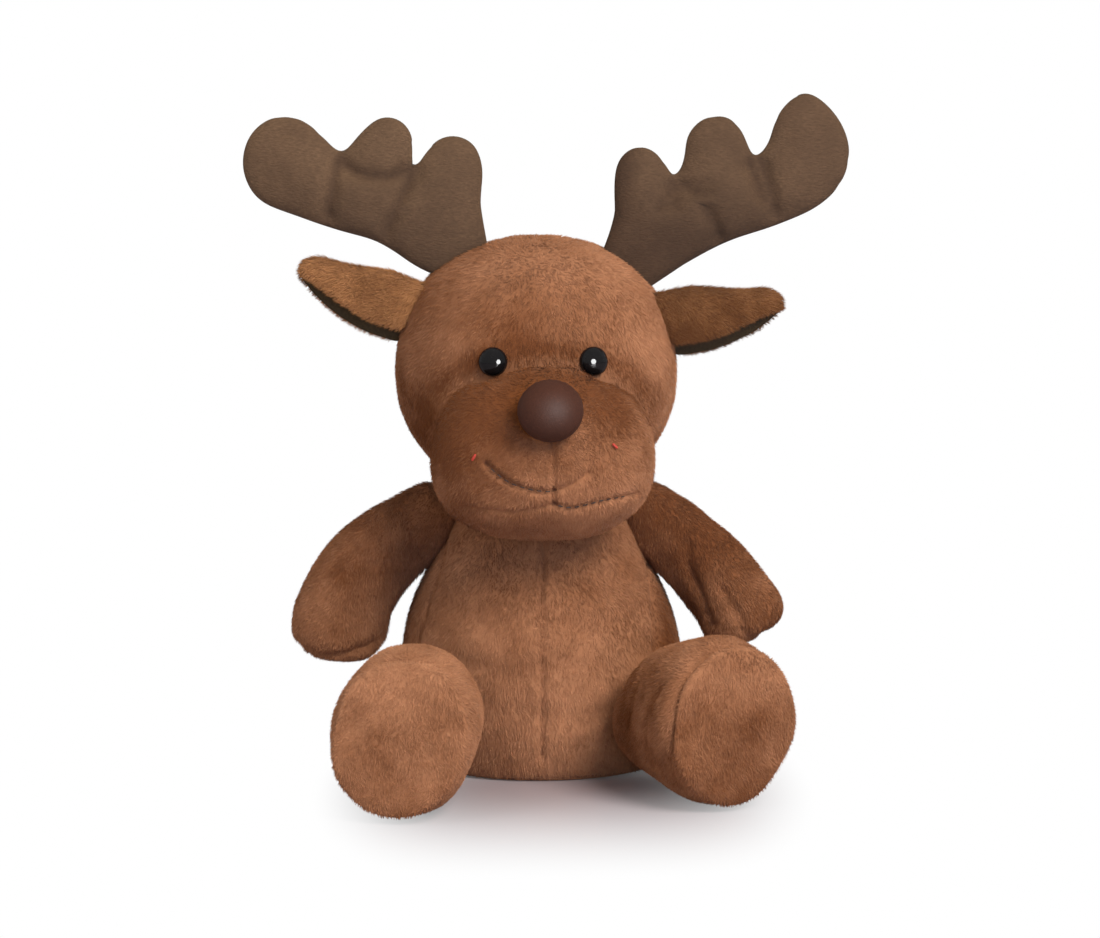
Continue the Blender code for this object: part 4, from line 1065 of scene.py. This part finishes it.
# Each pucker runs in from a hollow of the outline, as places across and up, in millimetres.
puckers = {
    "right": (
        ((-53, 253.5), (-56, 245), (-60.5, 235), (-65.5, 224)),
        ((-83.9, 256.8), (-79, 251.8), (-71.6, 249), (-63.3, 248.6), (-54.3, 252.3)),
        ((-84, 256.8), (-86, 249.4), (-88, 239), (-89.7, 229)),
    ),
    "left": (
        ((58.5, 246), (65, 242), (69.2, 235), (73.3, 224), (75.8, 218.5)),
        ((54.8, 247.3), (52.7, 241), (49.4, 235.7)),
        ((56.4, 244.8), (56, 236)),
        ((87.3, 255.5), (89.4, 247.3), (92.6, 239)),
        ((91.4, 255.5), (93.9, 248), (95.9, 240), (98, 233.3)),
    ),
}
antler_joint = {"right": (-0.038306, 0.226434), "left": (0.042097, 0.220823)}
antler_lean = {"right": math.radians(-28.25), "left": math.radians(38.07)}
# Painted light on each antler before its puckers; the left one is painted darker.
antler_painted_light = {"right": 0.94, "left": 0.86}
antler_root_shade = {"right": 0.55, "left": 0.95}
velour = Finish(
    "antler velour",
    Roughness=0.88,
    Specular_IOR_Level=0.2,
    Sheen_Weight=0.12,
    Sheen_Roughness=0.4,
    Sheen_Tint=(1.0, 0.84, 0.66),
)
drawn_out = velour.node(
    "ShaderNodeMapping", {}, {"Vector": velour.place(), "Scale": (0.35, 1.0, 1.0)}
)
streak = velour.speckle(0.0007, 3.0, drawn_out)
cloud = velour.speckle(0.014)
short_pile = velour.mix(streak, (0.056, 0.029, 0.013), (0.180, 0.104, 0.056))
clouded = velour.mix((cloud - 0.3) * 1.4, short_pile, (0.075, 0.040, 0.020))
# A darker copy of the velour: painted shade, blended in by the tone kept on the mesh.
hollow = velour.mix(1.0, clouded, (0.50, 0.44, 0.40), "MULTIPLY")
velour.set("Base Color", velour.mix(velour.mark("tone"), hollow, clouded))
velour.raised(streak, 0.0005, 0.8)
for word in ("right", "left"):
    work = copied_solid(f"antler_{word}")
    crease = work.edges.layers.float.new("crease_edge")
    for edge in work.edges:
        ends = [abs(point.co.y + antler_forward) for point in edge.verts]
        edge[crease] = 1.0 if max(ends) < 1e-5 else 0.0
    antler = made_from(work, f"antler_{word}_panels")
    subdivided(antler, 2)
    antler_points, _, _ = mesh_arrays(antler.data)
    flat = (1, antler_flatten, 1)
    moved_to(antler, (antler_points + (0, antler_forward, 0)) * flat - (0, antler_forward, 0))
    stuffed(antler, 0, antler_reach, 3.0, 0.0, (0.3, 1, 0.3))
    for across in panel_sides:
        lines = [laid_on(antler, [(x, across, z) for x, z in line]) for line in puckers[word]]
        for last, width in ((None, 0.0034), (-1, 0.0016)):
            creases = [(line[1:last], pucker_depth, width) for line in lines]
            pressed(antler, creases, middle=-antler_forward)
    antler_points, _, _ = mesh_arrays(antler.data)
    folds = [np.array([(x, -4.0, z) for x, z in line]) * millimetre for line in puckers[word]]
    flat_points = antler_points * (1, 0, 1) - (0, antler_forward, 0)
    near = np.min([nearest_on_line(flat_points, line) for line in folds], axis=0)
    # Painted shade darkens the cloth in its puckers, a painted highlight makes it pale beside them,
    # and painted shade darkens it near its root and, on the left antler, on its inner side.
    painted_highlight = 0.14 * bell(near, 0.0038, 0.0015)
    tone = antler_painted_light[word] - 0.70 * bell(near, 0, 0.0018) + painted_highlight
    shade = np.clip((0.258 - antler_points[:, 2]) / 0.035, 0, 1) * antler_root_shade[word]
    if word == "left":
        shade = np.maximum(shade, np.clip((0.046 - antler_points[:, 0]) / 0.012, 0.22, 0.95))
    marked(antler.data, tone=tone * (1 - shade))
    sewn_on(antler, past_head, reach=0.014, depth=0.0075)
    outward = np.array((math.sin(antler_lean[word]), 0, math.cos(antler_lean[word])))
    joint = np.array((antler_joint[word][0], -antler_forward, antler_joint[word][1]))
    antler_root = bends_from("head", joint, outward, behind=0.010, ahead=0.004)
    dressed(antler, f"antler_{word}", velour, "antler_velour", antler_root)
    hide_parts(f"antler_{word}")

# Arms: two panels of the brown plush each, stuffed to a wide paw and sewn shut at the shoulder,
# with a seam round the paw's end and a crease in the bend of the left one.
arm_lines = {
    "right": (
        ((-108, -2, 52), (-103, -14, 49.5), (-93.9, -19.5, 48.1), (-84.5, -22.8, 48.2))
        + ((-74, -21.7, 51), (-66, -14.2, 53.5)),
    ),
    "left": (
        ((61.2, -19.7, 95.6), (60.4, -20.3, 87.3), (62.9, -20.5, 79.7), (66.3, -21.6, 72.7))
        + ((69.7, -21.1, 62),),
        ((76.5, -20, 76), (80, -20.5, 70.5), (83.5, -20, 65)),
        ((84, -19, 61), (90, -18, 58.5), (95, -15, 54.5), (98, -11, 51)),
    ),
}


def arm_nap(points):
    """The nap of an arm: down and outwards to its paw."""
    return np.sign(points[:, :1]) * (0.45, 0.0, 0.0) + (0, 0, -1)


def arm_painted_light(points):
    """Painted light and shade on the arms: the left arm darker than the right, and both paler lower
    down, towards their paws.
    """
    return np.where(points[:, 0] > 0, 0.04, 0.15) + 8.0 * np.clip(0.085 - points[:, 2], 0, 0.05)


for word in ("right", "left"):
    arm = taken_from(f"arm_{word}", f"arm_{word}_skin", 0.0036, drawn_in)
    stuffed(arm, 2)
    lines = [laid_on(arm, line) for line in arm_lines[word]]
    creases = [(line, 0.0018, 0.0024) for line in lines]
    pressed(arm, creases, lump=0.0011, lump_size=0.016, seed=51)
    sewn_on(arm, past_torso, reach=0.009, depth=0.0042)
    plush_skin(arm, f"arm_{word}", f"arm_{word}", arm_painted_light, 0.75)
    pile(f"arm_{word}_pile", arm, f"arm_{word}", 21000, arm_nap, arm_painted_light, 53, seams=lines)

# Legs: a tube of the brown plush each, bent forward from the hip, stuffed and closed by a round
# sole panel whose seam pulls the plush in all round.
hip_half_spread = 0.0455
hip_forward = 0.0350
hip_height = 0.0285
leg_half_width = 0.0305
leg_half_height = 0.0355
sole_share = 0.855
sole_dome = 0.0046
sole_uneven = 0.035
# How far the sole's seam draws the plush in, as a share, and over which depth behind it.
seam_pull = 0.080
seam_pull_depth = 0.009
# A leg's points below this height lie on the floor, and the sole's own lowest height.
on_floor = 0.0018
sole_lowest = 0.0016
# Each leg's side, length, splay, and its sole's height and tip.
legs = {
    "right": (-1, 0.0810, math.radians(7), 0.0335, math.radians(16)),
    "left": (1, 0.0700, math.radians(26), 0.0350, math.radians(2)),
}
leg_joint = {
    "right": (-0.043794, -0.021104, hip_height),
    "left": (0.039363, -0.022417, hip_height),
}
leg_creases = {
    "right": (
        ((-66.0, -112.1, 54.4), (-60.5, -112.0, 57.1), (-55.3, -112.2, 58.4)),
        ((-77.1, -111.0, 39.4), (-76.0, -109.3, 45.8), (-73.3, -108.2, 50.8)),
        ((-74.3, -113.0, 33.8), (-71.2, -111.2, 41.4), (-75.2, -109.1, 47.0)),
    ),
    "left": (
        ((41.9, -70.9, 54.0), (35.8, -75.0, 40.4), (32.8, -65.7, 24.2)),
        ((45.2, -97.2, 48.7), (41.3, -93.9, 38.0), (40.3, -89.8, 27.0), (43.7, -85.6, 13.9)),
        ((49.5, -104.0, 22.0), (51.5, -100.0, 13.0), (57.0, -96.0, 6.5)),
    ),
}
for word, (side, length, splay, foot_height, tip) in legs.items():
    along = np.array((side * math.sin(splay), -math.cos(splay), 0))
    across = np.array((math.cos(splay), side * math.sin(splay), 0))
    upward = -math.sin(tip) * along + np.array((0, 0, math.cos(tip)))
    middle = np.array((side * hip_half_spread, -hip_forward, foot_height)) + length * along
    facing = np.cross(upward, across)
    facing = facing * np.sign(facing @ along)
    leg = taken_from(f"leg_{word}", f"leg_{word}_skin", 0.0038, drawn_in)
    stuffed(leg, 2)
    leg_points, _, _ = mesh_arrays(leg.data)
    ahead = (leg_points - middle) @ facing
    outward = leg_points - middle - ahead[:, None] * facing
    near_sole = np.clip(1 + ahead / seam_pull_depth, 0, 1)[:, None] ** 2
    moved_to(leg, leg_points - seam_pull * near_sole * outward)
    creases = [laid_on(leg, line) for line in leg_creases[word]]
    folds = [(line, 0.0018 + 0.0006 * side, 0.0026) for line in creases]
    pressed(leg, folds, lump=0.0012, lump_size=0.020, seed=61)
    sewn_on(leg, past_torso, reach=0.006, depth=0.0020)
    hip = np.array(leg_joint[word])
    leg_root = bends_from("torso", hip, along, behind=0.010, ahead=0.042)

    def leg_painted_light(points, side=side):
        """Painted shade on a leg: darker on its inner side, and the left leg darker all over and
        more so inside.
        """
        inner = np.clip((0.056 - points[:, 0] * side) / 0.012, 0, 1)
        return 0.50 - 0.08 * side - (0.14 + 0.06 * side) * inner

    def sole_painted_light(points, side=side):
        """Painted light on a sole: paler towards its top, and the right sole paler than the left.
        """
        if side < 0:
            return 0.50 + 6.0 * (points[:, 2] - 0.035)
        return 0.20 + 0.32 * np.clip((points[:, 2] - 0.038) / 0.014, 0, 1)

    plush_skin(leg, f"leg_{word}", f"leg_{word}", leg_painted_light, 0.75, leg_root)

    sole_polar = np.radians(np.linspace(3, 90, 18))[:, None]
    sole_round = np.arange(80) * 2 * np.pi / 80
    sole_rise = sole_dome * np.cos(sole_polar) ** 0.7
    rim_ways = np.stack([np.cos(sole_round), np.sin(sole_round), 0 * sole_round], -1)
    uneven = sole_uneven * soft_noise(rim_ways, 0.7, 62)[:, 0]
    size = sole_share * np.sin(sole_polar) * (1 + uneven - 0.03 * np.sin(sole_round))
    wide = leg_half_width * size * np.cos(sole_round)
    tall = leg_half_height * size * np.sin(sole_round)
    front = middle + wide[..., None] * across + tall[..., None] * upward
    rim = front[-1:] * 1.0
    # The right sole's seam is buried in the pile.
    sole_seam = [np.concatenate([rim[0], rim[0, :1]]) + 0.0004 * facing] if side > 0 else []
    front = front + (sole_rise + 0 * sole_round)[..., None] * facing
    rows = np.concatenate([front, rim - 0.0015 * facing])
    rows[..., 2] = np.maximum(rows[..., 2], sole_lowest)
    sole_ends = (middle + sole_dome * facing, middle - 0.002 * facing)
    sole = closed_skin(f"sole_{word}_skin", rows, *sole_ends)
    stuffed(sole, 1, 0.0006)
    pressed(sole, [], lump=0.0020, lump_size=0.019, seed=63)
    plush_skin(sole, f"sole_{word}", f"leg_{word}", sole_painted_light, 0.7)

    def sole_nap(points, middle=middle, facing=facing):
        """The nap of a sole: down its front, turned inwards near its rim and back over it."""
        outward = (points - middle) / leg_half_height
        near_rim = np.clip((np.linalg.norm(outward, axis=1, keepdims=True) - 0.5) / 0.35, 0, 1)
        return (0.0, 0.0, -1.0) - 0.9 * near_rim * outward / 0.85 - 1.4 * facing

    def against_floor(points):
        """True where the leg rests on the floor."""
        return points[:, 2] < on_floor

    def hidden_on_leg(points, middle=middle, facing=facing):
        """True behind the sole, on the floor and where the leg lies in the torso."""
        behind = (points - middle) @ facing > -0.0016
        return behind | (past_torso(points) < 0.0008) | against_floor(points)

    leg_nap = -0.5 * along + (0, 0, -0.8)
    covered = {"bare": hidden_on_leg, "seams": [*creases, *sole_seam], "root": leg_root}
    pile(f"leg_{word}_pile", leg, f"leg_{word}", 28000, leg_nap, leg_painted_light, 65, **covered)
    covered = {"length": 0.0017, "bare": against_floor, "seams": sole_seam}
    pile(f"sole_{word}_pile", sole, f"leg_{word}", 13000, sole_nap, sole_painted_light, 67, **covered)

# Tail: a short stuffed tab of the same plush at the middle of the back.
tail = taken_from("tail", "tail_skin", 0.0024, 0.0014)
stuffed(tail, 2, 0.0006)
sewn_on(tail, past_torso, reach=0.012, depth=0.0065)
tail_rise = math.radians(38)
tail_along = np.array((0, math.cos(tail_rise), math.sin(tail_rise)))
tail_joint = np.array((0, 0.050005, 0.034))
tail_root = bends_from("torso", tail_joint, tail_along, behind=0.003, ahead=0.008)
tail_tone = 0.4
plush_skin(tail, "tail", "tail", tail_tone, 0.7, tail_root)
pile("tail_pile", tail, "tail", 5000, (0.0, 1.0, -0.2), tail_tone, 71, root=tail_root)

# The place: a floor seen white but for a grey patch of painted shadow below the toy, that runs
# out into a white backdrop, soft light from the front and above, and the camera a little above the
# toy, straight on.
floor_mesh = bpy.data.meshes.new("floor")
floor_mesh.from_pydata([(-6, -6, 0), (6, -6, 0), (6, 6, 0), (-6, 6, 0)], [], [(0, 1, 2, 3)])
floor = set_in_scene("floor", floor_mesh)
floor_finish = Finish("floor", Roughness=0.32, Specular_IOR_Level=0.3)
# The floor's grey is painted shadow; it shows only in the patch below the toy.
floor_finish.set("Base Color", (0.44, 0.375, 0.395))
floor_place = {0: floor_finish.place()}
# The patch of painted shadow below the toy, where the floor shows its own grey with the real
# shadow and reflection on it, and beyond which it is seen pure white: its middle and its reach,
# across and along.
shadow_patch_x = (floor_finish.node("ShaderNodeSeparateXYZ", {}, floor_place, 0) - 0.009) / 0.104
shadow_patch_y = (floor_finish.node("ShaderNodeSeparateXYZ", {}, floor_place, 1) + 0.050) / 0.165
shadow_patch = (shadow_patch_x * shadow_patch_x * shadow_patch_x * shadow_patch_x + shadow_patch_y * shadow_patch_y) ** 0.5
far = floor_finish.node(
    "ShaderNodeMapRange",
    {"interpolation_type": "SMOOTHSTEP"},
    {"Value": shadow_patch, "From Min": 0.0, "From Max": 1.0},
)
floor_finish.shown(
    far * floor_finish.node("ShaderNodeLightPath", {}, {}),
    Socket(floor_finish, floor_finish.shader.outputs[0]),
    floor_finish.node("ShaderNodeEmission", {}, {"Strength": 1.0}),
)
finished(floor, floor_finish)

white = (1.0, 1.0, 1.0)
world = bpy.data.worlds.new("studio")
bpy.context.scene.world = world
world.use_nodes = True
studio = Nodes(world.node_tree, "World Output")
daylight, backdrop = (
    studio.node("ShaderNodeBackground", {}, {"Color": white, "Strength": strength})
    for strength in (0.47, 1.0)
)
studio.shown(studio.node("ShaderNodeLightPath", {}, {}), daylight, backdrop)


toy_middle = (0.0, 0.0, 0.14)
# Round studio lamps that face the toy. The spark lights only what is polished, and the other two
# light everything but leave no spark.
for name, place, size, power, colour in (
    ("key", (0.75, -1.1, 1.15), 0.8, 28, (1.0, 0.97, 0.93)),
    ("fill", (-1.2, -1.0, 0.7), 0.9, 6, (0.95, 0.96, 1.0)),
    ("spark", (0.51, -1.41, 0.33), 0.75, 60, white),
):
    lamp = bpy.data.lights.new(name, "AREA")
    lamp.shape = "DISK"
    lamp.size = size
    lamp.energy = power
    lamp.color = colour
    made = set_in_scene(name, lamp)
    made.location = place
    made.rotation_euler = (Vector(toy_middle) - Vector(place)).to_track_quat("-Z", "Y").to_euler()
    made.visible_glossy = name == "spark"
    made.visible_diffuse = name != "spark"

camera_target = Vector((0.0035, -0.030, 0.1289))
camera_height = math.radians(7)
camera_distance = 1.4
camera = bpy.data.cameras.new("camera")
camera.sensor_width = 36
camera.lens = 110.7
camera.clip_end = 20
camera_object = set_in_scene("camera", camera)
back = Vector((0, -math.cos(camera_height), math.sin(camera_height)))
camera_object.location = camera_target + back * camera_distance
camera_object.rotation_euler = (-back).to_track_quat("-Z", "Y").to_euler()
bpy.context.scene.camera = camera_object
bpy.context.scene.view_settings.view_transform = "Standard"
